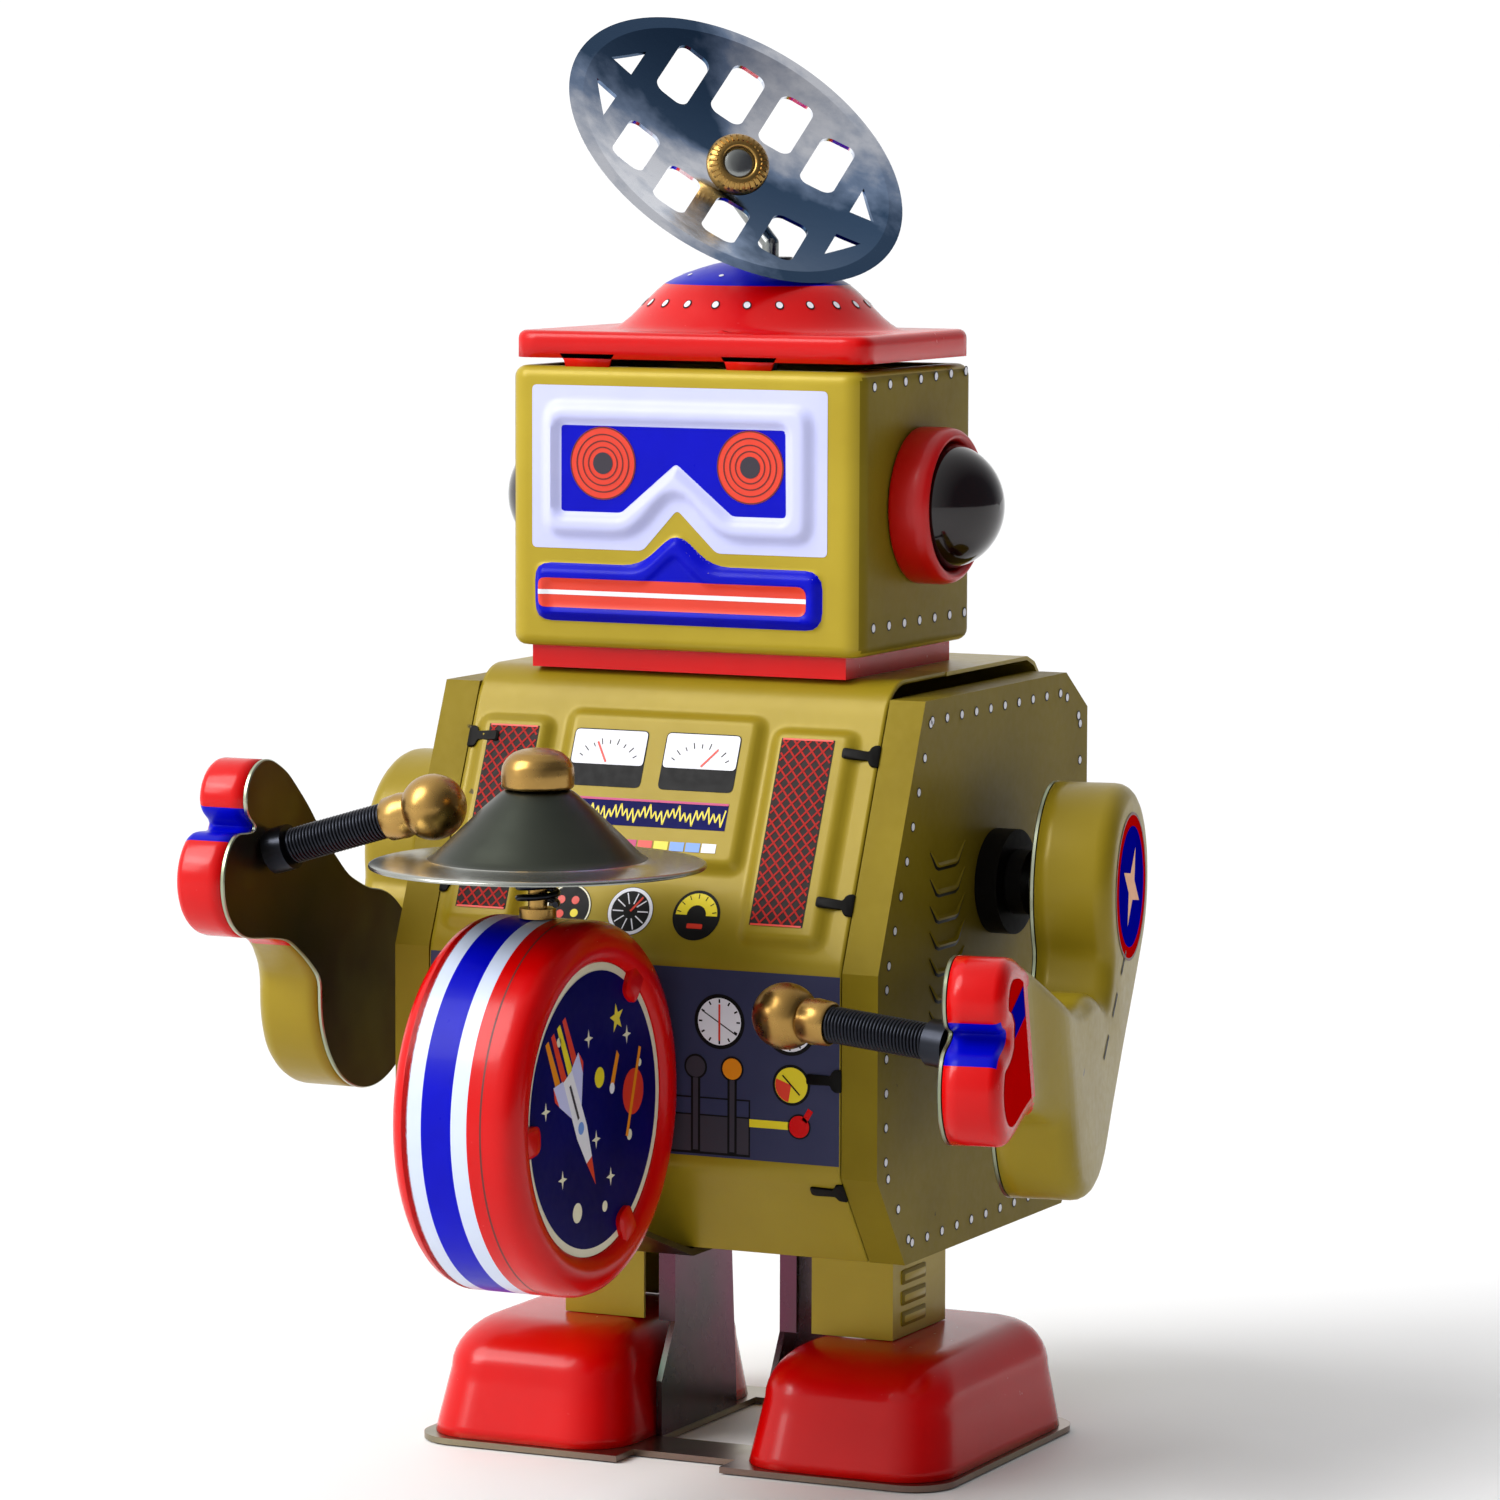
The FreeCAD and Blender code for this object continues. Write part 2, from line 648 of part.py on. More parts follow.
def dish():
    """A shallow spherical bowl with eight slots and four corner openings."""
    radius, depth, tin = size("dish_radius"), size("dish_depth"), size("tin")
    ball = (radius ** 2 + depth ** 2) / (2 * depth)
    centre = Vector(0, 0, ball)
    bowl = Part.makeSphere(ball, centre).cut(Part.makeSphere(ball - tin, centre))
    bowl = bowl.common(Part.makeCylinder(radius, depth + tin, Vector(0, 0, -tin)))
    wide, long = size("slot_wide"), size("slot_long")
    holes = []
    for row in (1, -1):
        for step in (-1.5, -0.5, 0.5, 1.5):
            across = step * radius * 0.31
            up = row * radius * (0.53 if abs(step) < 1 else 0.40)
            corner = Vector(across - wide / 2, up - long / 2, -1)
            slot = Part.makeBox(wide, long, depth + 2, corner)
            slot = slot.makeFillet(wide * 0.3, [e for e in slot.Edges if is_upright(e)])
            holes.append(slot)
        for end in (1, -1):
            points = [
                Vector(end * radius * a, row * radius * b, -1)
                for a, b in ((0.70, 0.12), (0.84, 0.12), (0.70, 0.36))
            ]
            wedge = Part.Face(Part.makePolygon(points + points[:1]))
            holes.append(wedge.extrude(Vector(0, 0, depth + 2)))
    for hole in holes:
        hole.rotate(Vector(), Vector(0, 0, 1), size("slot_turn"))
        bowl = bowl.cut(hole)
    pin_hole = Part.makeCylinder(1.6 * size("shaft_radius"), 4, Vector(size("pin_off"), 0, -2))
    set_shape("dish", bowl.cut(pin_hole), "hub_x", "shaft_y", "hub_z", dish_frame())


def eyelet_frame():
    """The turn that takes +Z to the axis of the shaft's bent end."""
    tilt = Rotation(Vector(0, 1, 0), size("eyelet_tilt"))
    return Rotation(Vector(0, 0, 1), size("eyelet_turn")).multiply(tilt)


def pin_spot(along=0.0):
    """A point on the shaft's bent end, counted forwards from its hole in the dish."""
    middle = Vector(size("hub_x"), size("shaft_y"), size("hub_z"))
    hole = middle + dish_frame().multVec(Vector(size("pin_off"), 0, 0))
    return hole + eyelet_frame().multVec(Vector(0, 0, along))


def dish_eyelet():
    """The brass eyelet on the shaft's end; the dish sits loosely behind it."""
    spot = pin_spot(size("eyelet_rise"))
    body = new_body("dish_eyelet", f"{spot.x:.4f}", f"{spot.y:.4f}", f"{spot.z:.4f}",
                    eyelet_frame())
    flange = [
        ("shaft_radius", "0"),
        ("0.7 * eyelet_radius", "0"),
        ("eyelet_radius", "0.8"),
        ("eyelet_radius", "1.3"),
        ("0.76 * eyelet_radius", "2.3"),
        ("0.5 * eyelet_radius", "2.5"),
        ("0.46 * eyelet_radius", "1.9"),
        ("shaft_radius", "1.9"),
    ]
    revolve(body, draw_polygon(sketch_on(body, "XZ_Plane"), flange))


def dish_shaft():
    """A wire that runs up through the head, leans over and ends in the eyelet."""
    radius = size("shaft_radius")
    low = Vector(0, 0, size("crank_z") + size("crown_radius") - 2.5)
    bend = Vector(0, 0, size("dome_top") + 2.0)
    foot = Vector(size("dome_x"), size("shaft_y"), 0)
    below = pin_spot(-4.0) - foot
    tip = pin_spot(size("eyelet_rise") + 1.7) - foot
    wire = Part.makeCylinder(radius, bend.z - low.z, low)
    for start, end in ((bend, below), (below, tip)):
        run = end - start
        wire = wire.fuse(Part.makeCylinder(radius, run.Length, start, run))
        wire = wire.fuse(Part.makeSphere(radius, start))
    set_shape("dish_shaft", wire.removeSplitter(), "dome_x", "shaft_y", "0")


def shaft_bush():
    """The bush in the dome that guides the dish shaft."""
    body = new_body("shaft_bush", "dome_x", "shaft_y", "dome_top - 3.2")
    sleeve = [
        ("shaft_radius + run", "-1.5"),
        ("shaft_radius + 1.8", "-1.5"),
        ("shaft_radius + 1.8", "3.4"),
        ("shaft_radius + run", "3.4"),
    ]
    revolve(body, draw_polygon(sketch_on(body, "XZ_Plane"), sleeve))


# -------------------------------------------------------------- drum and cymbal


def drum():
    """Rolled shell with a rounded rim at each end, and a head in each rim."""
    turn = Rotation(Vector(0, 1, 0), 90)
    place = ("drum_x", "drum_y", "drum_z", turn)
    shell = new_body("drum_shell", *place)
    section = [
        ("drum_radius - tin", "-drum_half + 1.6"),
        ("drum_face", "-drum_half + 1.6"),
        ("drum_face", "-drum_half + 0.6"),
        ("drum_radius - 3.2", "-drum_half"),
        ("drum_radius - 1.2", "-drum_half + 0.4"),
        ("drum_radius", "-drum_half + 2.4"),
        ("drum_radius", "drum_half - 2.4"),
        ("drum_radius - 1.2", "drum_half - 0.4"),
        ("drum_radius - 3.2", "drum_half"),
        ("drum_face", "drum_half - 0.6"),
        ("drum_face", "drum_half - 1.6"),
        ("drum_radius - tin", "drum_half - 1.6"),
    ]
    revolve(shell, draw_polygon(sketch_on(shell, "XZ_Plane"), section))
    for label, low in (("drum_head_left", "drum_half - 1.6 + gap"),
                       ("drum_head_right", "-drum_half + 1.6 - gap - tin")):
        head = new_body(label, *place)
        disc(head, "XY_Plane", low, "0", "0", "drum_face - gap", "tin")


def drum_bracket():
    """Strap under the body that reaches forward to the underside of the drum."""
    body = new_body("drum_bracket")
    strap = [
        ("-10", "body_bottom - 2 * tin - gap"),
        ("-10", "body_bottom - gap"),
        ("front_bottom - 0.8", "body_bottom - gap"),
        ("-38.3", "34.2"),
        ("-37.6", "33.2"),
        ("front_bottom - 0.4", "body_bottom - 2 * tin - gap"),
    ]
    block(body, "YZ_Plane", "drum_x - 6", strap, "12")


def cymbal_post():
    """Rod with the brass seat on top of the drum."""
    body = new_body("cymbal_post", "drum_x", "drum_y")
    rod = [
        ("0", "drum_z + drum_radius + gap"),
        ("2.3", "drum_z + drum_radius + gap"),
        ("2.3", "seat_top"),
        ("post_radius", "seat_top"),
        ("post_radius", "cymbal_top + 1.9"),
        ("0", "cymbal_top + 1.9"),
    ]
    revolve(body, draw_polygon(sketch_on(body, "XZ_Plane"), rod))


def coil(radius, wire_radius, low, height, turns):
    """A helical spring round the Z axis, with its lower end at height low."""
    pitch = (height - 2 * wire_radius) / turns
    start = Vector(radius, 0, low + wire_radius)
    helix = Part.makeHelix(pitch, pitch * turns, radius)
    helix.translate(Vector(0, 0, start.z))
    section = Part.Wire(Part.makeCircle(wire_radius, start, Vector(0, 1, 0)))
    return Part.Wire(helix).makePipeShell([section], True, True)


def cymbal():
    body = new_body("cymbal", "drum_x", "drum_y")
    cone = [
        ("post_radius + 3 * gap", "cymbal_top"),
        ("cymbal_neck", "cymbal_top"),
        ("cymbal_neck + 8.8", "cymbal_low + 0.5"),
        ("cymbal_neck + 10.6", "cymbal_low"),
        ("cymbal_radius", "cymbal_low - 0.2"),
        ("cymbal_radius", "cymbal_low - 0.2 - tin"),
        ("cymbal_neck + 10.4", "cymbal_low - tin"),
        ("cymbal_neck + 8.4", "cymbal_low + 0.5 - tin"),
        ("cymbal_neck - 0.6 * tin", "cymbal_top - tin"),
        ("post_radius + 3 * gap", "cymbal_top - tin"),
    ]
    revolve(body, draw_polygon(sketch_on(body, "XZ_Plane"), cone))
    nut = new_body("cymbal_nut", "drum_x", "drum_y")
    acorn = [
        ("post_radius + 0.02", "cymbal_top + gap"),
        ("4.4", "cymbal_top + gap"),
        ("4.5", "cymbal_top + 2"),
        ("4.2", "nut_top - 2.2"),
        ("3.4", "nut_top - 1.1"),
        ("2", "nut_top - 0.3"),
        ("0", "nut_top"),
        ("0", "cymbal_top + 2"),
        ("post_radius + 0.02", "cymbal_top + 2"),
    ]
    revolve(nut, draw_polygon(sketch_on(nut, "XZ_Plane"), acorn))
    room = size("cymbal_top") - size("tin") - size("seat_top") - 2 * size("gap")
    spring = coil(size("post_radius") + 1.2, 0.4, 0, room, 10)
    set_shape("cymbal_spring", spring, "drum_x", "drum_y", "seat_top + gap")


# ------------------------------------------------------------------------- arms

# Places in the arm's own plane, from its axle: forward is -Y, with the right arm's rest level.
SHOULDER = ("0", "0", "13.4")
ELBOW = ("-29", "-15.2", "13.2")
LOW_KNUCKLE = ("-59.5", "2.4", "7.6")
HIGH_KNUCKLE = ("-56", "12.2", "5.2")
STICK = ("-55.5", "5.4")
UPPER_ARM = [
    ("-11.7", "-4.4"),
    ("-19", "-9"),
    ("-30", "-8"),
    ("-22.5", "-25.5"),
    ("4", "-11.8"),
    ("2", "2"),
]
HAND = [
    ("-57.6", "16.6"),
    ("-53.6", "16.7"),
    ("-50.8", "15.4"),
    ("-45.7", "11.1"),
    ("-40", "3.6"),
    ("-32", "-1.9"),
    ("-19", "-9"),
    ("-28", "-24"),
    ("-39.5", "-12"),
    ("-50.3", "-6.1"),
    ("-60", "-5.1"),
    ("-60", "3"),
    ("-54.5", "8.5"),
]


def arm_turn(side):
    """How an arm stands at rest: the left one hangs lower and is bent outwards."""
    if side == "right":
        return Rotation()
    drop = Rotation(Vector(1, 0, 0), -size("left_rest"))
    return Rotation(Vector(0, 0, 1), size("left_splay")).multiply(drop)


def arm_place(side, sign):
    return (signed(sign, "arm_in"), "arm_y", "arm_z", arm_turn(side))


def arm_outline(body, start, limb, hand, sign):
    """Pad the arm's outline, as deep as its limb and as its hand ask."""
    discs = ((SHOULDER, limb), (ELBOW, limb), (LOW_KNUCKLE, hand), (HIGH_KNUCKLE, hand))
    for (across, up, radius), length in discs:
        sketch = sketch_on(body, "YZ_Plane", signed(sign, start))
        pad(body, draw_circle(sketch, across, up, radius), length, sign < 0)
    for corners, length in ((UPPER_ARM, limb), (HAND, hand)):
        sketch = sketch_on(body, "YZ_Plane", signed(sign, start))
        pad(body, draw_polygon(sketch, corners), length, sign < 0)


def arm_plate(side, sign):
    """Flat zinc plate that closes the arm on the inside."""
    body = new_body(f"arm_plate_{side}", *arm_place(side, sign))
    arm_outline(body, "0", "tin", "tin", sign)
    axle_hole = draw_circle(
        sketch_on(body, "YZ_Plane", signed(sign, "0")), "0", "0", "axle_radius + 0.4"
    )
    pocket(body, axle_hole, "2 * tin", reverse=sign > 0)


def arm_shell(side, sign):
    """Outer pressing of the arm: a solid outline, hollowed from the inside."""
    body = new_body(f"arm_shell_{side}", *arm_place(side, sign))
    limb, hand = "arm_deep - tin - gap", "hand_deep - tin - gap"
    arm_outline(body, "tin + gap", limb, hand, sign)
    for (across, up, radius), depth in ((SHOULDER, limb), (ELBOW, limb), (LOW_KNUCKLE, hand)):
        sketch = sketch_on(body, "YZ_Plane", signed(sign, "tin + gap"))
        draw_circle(sketch, across, up, f"{radius} - 2 * tin")
        pocket(body, sketch, f"{depth} - tin", reverse=sign > 0)


def arm_axle(side, sign):
    """Axle of one arm, with the lifter lever on its inner end."""
    body = new_body(f"arm_axle_{side}", "0", "arm_y", "arm_z")
    start = signed(sign, "lever_in")
    disc(body, "YZ_Plane", start, "0", "0", "axle_radius", "arm_in + 3.5 - lever_in", sign < 0)
    lever = [
        ("1.2", "-2.4"),
        ("1.8", "2"),
        ("-lever_reach", "lever_rise + 1.4"),
        ("-lever_reach", "lever_rise"),
    ]
    block(body, "YZ_Plane", start, lever, "1.6", sign < 0)
    finger = rectangle(
        signed(sign, "2.6"), "lever_rise", signed(sign, "lever_in + 1"), "lever_rise + 1.4"
    )
    block(body, "XZ_Plane", "lever_reach - 1.6", finger, "1.6")


def shoulder_bushes():
    """The two black bushes that carry the arm axles in the body's sides."""
    bushes = []
    for _, sign in SIDES:
        outer = size("shoulder_radius")
        base = Vector(sign * (size("body_half") + size("gap")), 0, 0)
        way = Vector(sign, 0, 0)
        flange = Part.makeCylinder(outer, 3.0, base, way)
        neck = Part.makeCylinder(outer - 2.6, 2.2, base + way * 3.0, way)
        spigot = Part.makeCylinder(size("axle_radius") + 1.4, 3.0, base - way * 3.0, way)
        bore = Part.makeCylinder(size("axle_radius") + size("run"), 12, base - way * 4, way)
        bushes.append(flange.fuse(neck).fuse(spigot).removeSplitter().cut(bore))
    set_shape("shoulder_bushes", Part.makeCompound(bushes), "0", "arm_y", "arm_z")


# The sticks lean a little, each its own way: degrees up and degrees back.
STICK_LEAN = {"left": (4.0, 8.0), "right": (16.5, 0.0)}


def stick_turn(side, sign):
    """Takes +Z to the stick's own direction, inwards across the front of the robot."""
    up, back = STICK_LEAN[side]
    inwards = Rotation(Vector(0, 1, 0), -90 * sign)
    lean = Rotation(Vector(0, 1, 0), sign * up)
    swing = Rotation(Vector(0, 0, 1), -sign * back)
    return swing.multiply(lean).multiply(inwards)


def stick_root(side):
    """Where a stick leaves its arm, from the arm's axle point."""
    across, up = (float(text) for text in STICK)
    return arm_turn(side).multVec(Vector(0, across, up))


def stick_pieces(side, sign):
    root = stick_root(side)
    spot = (
        f"{signed(sign, 'arm_in')} + {root.x:.4f}",
        f"arm_y + {root.y:.4f}",
        f"arm_z + {root.z:.4f}",
        stick_turn(side, sign),
    )
    bush = new_body(f"stick_bush_{side}", *spot)
    collar = [("0", "-3"), ("1.6", "-3"), ("1.6", "0.6"), ("2.9", "0.6"), ("2.9", "3.4"),
              ("1.5", "3.4"), ("1.5", "5.4"), ("0", "5.4")]
    revolve(bush, draw_polygon(sketch_on(bush, "XZ_Plane"), collar))
    turns = math.floor(size("stick_long") / (2 * size("wire_radius") + 0.06))
    reach = size("stick_radius") - size("wire_radius")
    spring = coil(reach, size("wire_radius"), 3.5, size("stick_long"), turns)
    set_shape(f"drumstick_spring_{side}", spring, *spot)
    tip = new_body(f"drumstick_tip_{side}", *spot)
    start = "3.6 + stick_long"
    knob = [
        ("0", start),
        ("2.6", start),
        ("2.9", f"{start} + 2.6"),
        ("3.8", f"{start} + 3"),
        ("ball_radius", f"{start} + 2.6 + ball_radius"),
        ("0.72 * ball_radius", f"{start} + 2.6 + 1.7 * ball_radius"),
        ("0", f"{start} + 2.6 + 2 * ball_radius"),
    ]
    revolve(tip, draw_polygon(sketch_on(tip, "XZ_Plane"), knob))


# ------------------------------------------------------------------------ motor


def gear(low, teeth, width, phase=0.0):
    """A spur gear on a Y arbor, from Y = low. Slim teeth leave backlash in the mesh."""
    count, module = int(size(teeth)), size("module")
    root = module * (count / 2 - 1.15)
    tip = module * (count / 2 + 0.8)
    half_root, half_tip = 0.62 * module, 0.34 * module
    outline = []
    for k in range(count):
        turn = Rotation(Vector(0, -1, 0), phase + 360.0 * k / count)
        for reach, half in ((root, -half_root), (tip, -half_tip), (tip, half_tip),
                            (root, half_root)):
            outline.append(turn.multVec(Vector(reach, low, half)))
    return Part.Face(Part.makePolygon(outline + outline[:1])).extrude(Vector(0, width, 0))


def y_rod(radius, low, high, x=0.0, z=0.0):
    """A round bar along Y."""
    return Part.makeCylinder(radius, high - low, Vector(x, low, z), Vector(0, 1, 0))


ARBORS = {
    # name: x alias, z alias, pivot radius
    "great": (None, "great_z", 1.6),
    "second": ("second_x", "second_z", 0.8),
    "crank": (None, "crank_z", 0.8),
    "fly": ("fly_x", "fly_z", 0.6),
}


def arbor_spot(name):
    """Where an arbor stands, across and up from the winding arbor's own X."""
    x_alias, z_alias, _ = ARBORS[name]
    return (size(x_alias) if x_alias else 0.0), size(z_alias)


def meshing_phase(name, teeth, other, other_teeth, other_phase=0.0):
    """The phase that puts a gap of one gear round the nearest tooth of another."""
    (x, z), (other_x, other_z) = arbor_spot(name), arbor_spot(other)
    count, other_count = size(teeth), size(other_teeth)
    towards = math.degrees(math.atan2(z - other_z, x - other_x))
    past = (other_phase - towards) % (360 / other_count)
    return towards + 180 + 180 / count - past * other_count / count


def motor_plate(label, front):
    body = new_body(label)
    outline = rectangle("-motor_half", "motor_low", "motor_half", "motor_high")
    block(body, "XZ_Plane", f"-({front})", outline, "motor_t", reverse=True)
    for x_alias, z_alias, radius in ARBORS.values():
        sketch = sketch_on(body, "XZ_Plane", f"-({front})")
        draw_circle(sketch, f"motor_x + {x_alias or 0}", z_alias, f"{radius} + run")
        pocket(body, sketch, "2 * motor_t")
    return body


def motor_plates():
    """Two plates; the front one has a lug on each side that carries the arm axle's inner end."""
    motor_plate("motor_plate_rear", "motor_rear - motor_t")
    body = motor_plate("motor_plate_front", "motor_front")
    for _, sign in SIDES:
        lug = rectangle("motor_front + motor_t / 2", "arm_z - 4", "arm_y + 4", "arm_z + 4")
        block(body, "YZ_Plane", signed(sign, "lug_x"), lug, "motor_t", sign < 0)
        bore = sketch_on(body, "YZ_Plane", signed(sign, "lug_x + motor_t"))
        draw_circle(bore, "arm_y", "arm_z", "axle_radius + run")
        pocket(body, bore, "2 * motor_t", reverse=sign < 0)


def motor_pillars():
    """Four spacers that hold the motor plates apart, and the pins of the mainspring's hook."""
    reach = size("motor_half") - 3
    low, high = size("motor_low") + 3, size("motor_high") - 3
    front = size("motor_front") + size("motor_t")
    rear = size("motor_rear") - size("motor_t")
    rods = [
        y_rod(1.5, front, rear, x, z) for x in (-reach, reach) for z in (low, high)
    ]
    set_shape("motor_pillars", Part.makeCompound(rods))


def mainspring():
    """Flat spiral strip round the winding arbor."""
    turns, inner, outer, strip = 7, 2.6, 11.0, 0.3
    steps = 24
    pitch = (outer - inner) / turns
    points = [[], []]
    for k in range(turns * steps + 1):
        angle = 2 * math.pi * k / steps
        for side, shift in ((0, 0.0), (1, strip)):
            reach = inner + pitch * k / steps + shift
            points[side].append(Vector(reach * math.cos(angle), 0, reach * math.sin(angle)))
    rails = []
    for line in points:
        curve = Part.BSplineCurve()
        curve.interpolate(line)
        rails.append(curve.toShape())
    ends = [
        Part.LineSegment(points[0][0], points[1][0]).toShape(),
        Part.LineSegment(points[0][-1], points[1][-1]).toShape(),
    ]
    strip_face = Part.Face(Part.Wire(Part.__sortEdges__(rails + ends)))
    set_shape("mainspring", strip_face.extrude(Vector(0, 6, 0)), "motor_x", "-1", "great_z")


def ratchet(low, width, reach, teeth, bore):
    """Saw-toothed wheel on a Y arbor."""
    outline = []
    for k in range(teeth):
        for turns, length in ((k, reach), (k + 1, reach * 0.82)):
            angle = 2 * math.pi * turns / teeth
            outline.append(Vector(length * math.cos(angle), low, length * math.sin(angle)))
    face = Part.Face(Part.makePolygon(outline + outline[:1]))
    return face.extrude(Vector(0, width, 0)).cut(y_rod(bore, low - 1, low + width + 1))


def winding_train():
    """Winding arbor with its key and ratchet, and the great wheel that carries the pawl."""
    radius = ARBORS["great"][2]
    spot = ("motor_x", "0", "great_z")
    arbor = y_rod(radius, size("motor_front") - 1.5, size("back_y") + 4.0)
    set_shape("winding_arbor", arbor, *spot)
    set_shape("ratchet_wheel", ratchet(6.4, 1.0, 5.2, 12, radius + 0.01), *spot)

    wheel = gear(8.0, "great_teeth", 1.5).fuse(y_rod(3.2, 8.0, 10.5))
    wheel = wheel.cut(y_rod(radius + size("run"), 6, 12))
    set_shape("great_wheel", wheel.removeSplitter(), *spot)
    nose = [(5.4, 0.6), (9.0, -0.4), (9.6, 1.4), (6.6, 2.4), (5.4, 0.6)]
    pawl = Part.Face(Part.makePolygon([Vector(x, 6.4, z) for x, z in nose]))
    set_shape("ratchet_pawl", pawl.extrude(Vector(0, 1.6, 0)), *spot)

    key = new_body("winding_key", *spot)
    barrel = sketch_on(key, "XZ_Plane", "-(back_y + 1)")
    draw_circle(barrel, "0", "0", "3")
    draw_circle(barrel, "0", "0", f"{radius} + 0.01")
    pad(key, barrel, "9", reverse=True)
    block(key, "XZ_Plane", "-(back_y + 9.9)", rectangle("-3", "-1", "3", "1"), "2", reverse=True)
    for sign in (1, -1):
        wing = sketch_on(key, "XY_Plane", "-1")
        draw_circle(wing, f"{sign} * 8.6", "key_out - 7.4", "7.4")
        draw_circle(wing, f"{sign} * 9.4", "key_out - 7.4", "3")
        pad(key, wing, "2")


def second_wheel():
    """Second arbor in one with its pinion, carrying the second wheel."""
    phase = meshing_phase("second", "small_teeth", "great", "great_teeth")
    solid = y_rod(ARBORS["second"][2], size("motor_front"), size("motor_rear"))
    solid = solid.fuse(gear(7.6, "small_teeth", 2.4, phase)).fuse(y_rod(2.2, 9.9, 10.9))
    solid = solid.fuse(gear(10.8, "second_teeth", 1.2))
    set_shape("second_wheel", solid.removeSplitter(), "motor_x + second_x", "0", "second_z")


def crank_train():
    """Crank arbor with its pinion, the crown wheel and the cam that lifts the arms."""
    radius = ARBORS["crank"][2]
    spot = ("motor_x", "0", "crank_z")
    phase = meshing_phase("crank", "crank_teeth", "second", "second_teeth")
    arbor = y_rod(radius, size("motor_front"), size("motor_rear"))
    arbor = arbor.fuse(gear(10.4, "crank_teeth", 2.0, phase))
    set_shape("crank_arbor", arbor.removeSplitter(), *spot)

    teeth, reach = int(size("crown_teeth")), size("crown_radius")
    pitch = 2 * math.pi * reach / teeth
    crown = y_rod(reach + 1.2, -2.2, -1.0).cut(y_rod(radius + 0.01, -4, 4))
    for k in range(teeth):
        tooth = Part.makeBox(0.34 * pitch, 1.4, 2.2, Vector(-0.17 * pitch, -1.05, reach - 1.1))
        tooth.rotate(Vector(0, 0, 0), Vector(0, 1, 0), 360.0 * k / teeth)
        crown = crown.fuse(tooth)
    set_shape("crown_wheel", crown.removeSplitter(), *spot)
    cam = y_rod(2.6, -8.4, -6.4, 0.9).cut(y_rod(radius + 0.01, -10, 0))
    set_shape("eccentric_cam", cam, *spot)


def dish_pinion():
    """Pinion on the dish shaft, in mesh with the crown wheel's face teeth."""
    teeth = int(size("dish_teeth"))
    reach = size("dish_pinion")
    pitch = 2 * math.pi * reach / teeth
    disc_solid = Part.makeCylinder(reach - 0.75, 1.6)
    for k in range(teeth):
        leaf = Part.makeBox(1.3, 0.34 * pitch, 1.6, Vector(reach - 0.8, -0.17 * pitch, 0))
        leaf.rotate(Vector(0, 0, 0), Vector(0, 0, 1), 270 + 360.0 * (k + 0.5) / teeth)
        disc_solid = disc_solid.fuse(leaf)
    bored = disc_solid.removeSplitter().cut(Part.makeCylinder(size("shaft_radius") + 0.01, 2))
    set_shape("dish_pinion", bored, "dome_x", "shaft_y", "crank_z + crown_radius - 0.8")


def governor_fly():
    """Air brake that keeps the motor slow: a two-bladed fly and its pinion."""
    phase = meshing_phase("fly", "fly_teeth", "second", "second_teeth")
    solid = y_rod(ARBORS["fly"][2], size("motor_front") - 7.5, size("motor_rear"))
    solid = solid.fuse(gear(10.6, "fly_teeth", 1.6, phase))
    blades = Part.makeBox(13, 4.0, 0.6, Vector(-6.5, size("motor_front") - 6.5, -0.3))
    solid = solid.fuse(blades).removeSplitter()
    set_shape("governor_fly", solid, "motor_x + fly_x", "0", "fly_z")


# --------------------------------------------------------------------- assembly

base_plate()
for side, sign in SIDES:
    shoe(side, sign)
    leg_cover(side, sign)
    leg_plate(side, sign)
    body_side(side, sign)
    ear(side, sign)
    arm_plate(side, sign)
    arm_shell(side, sign)
    arm_axle(side, sign)
    stick_pieces(side, sign)
body_front_panel()
body_back_panel()
body_bottom_panel()
neck_collar()
head_shell()
head_lid()
dome()
dish()
dish_eyelet()
dish_shaft()
shaft_bush()
drum()
drum_bracket()
cymbal_post()
cymbal()
shoulder_bushes()
motor_plates()
motor_pillars()
mainspring()
winding_train()
second_wheel()
crank_train()
dish_pinion()
governor_fly()
doc.recompute()

for item in doc.Objects:
    if "Invalid" in item.State or "Error" in item.State:
        raise RuntimeError(f"{item.Name} failed: {item.State}")
for part in parts:
    if part.Shape.isNull() or not part.Shape.isValid():
        raise RuntimeError(f"{part.Label} has no valid shape")

os.makedirs("parts", exist_ok=True)
for part in parts:
    part.Shape.exportStep(os.path.join("parts", f"{part.Label}.step"))
print(len(parts), "sub-parts")
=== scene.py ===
import json
from math import ceil, copysign, cos, hypot, pi, radians, sin

import bmesh
import bpy
from mathutils import Matrix, Vector


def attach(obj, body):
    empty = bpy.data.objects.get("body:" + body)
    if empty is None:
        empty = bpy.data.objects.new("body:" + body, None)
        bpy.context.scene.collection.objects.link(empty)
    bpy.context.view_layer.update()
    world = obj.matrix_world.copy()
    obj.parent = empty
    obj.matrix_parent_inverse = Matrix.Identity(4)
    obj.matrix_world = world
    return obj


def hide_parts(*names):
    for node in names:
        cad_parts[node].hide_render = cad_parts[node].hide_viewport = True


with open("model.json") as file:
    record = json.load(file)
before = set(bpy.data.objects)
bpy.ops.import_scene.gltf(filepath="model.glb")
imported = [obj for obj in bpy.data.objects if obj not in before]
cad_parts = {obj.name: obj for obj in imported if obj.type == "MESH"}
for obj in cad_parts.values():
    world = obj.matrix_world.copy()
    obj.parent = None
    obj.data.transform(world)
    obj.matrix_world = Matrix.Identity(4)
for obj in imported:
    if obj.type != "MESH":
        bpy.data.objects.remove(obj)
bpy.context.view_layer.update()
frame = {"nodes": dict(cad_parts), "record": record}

# Lengths below are in mm. Y counts from the robot's middle, which is ROBOT_Y behind the origin.
ROBOT_Y = 12.5
SIDES = (("left", 1), ("right", -1))


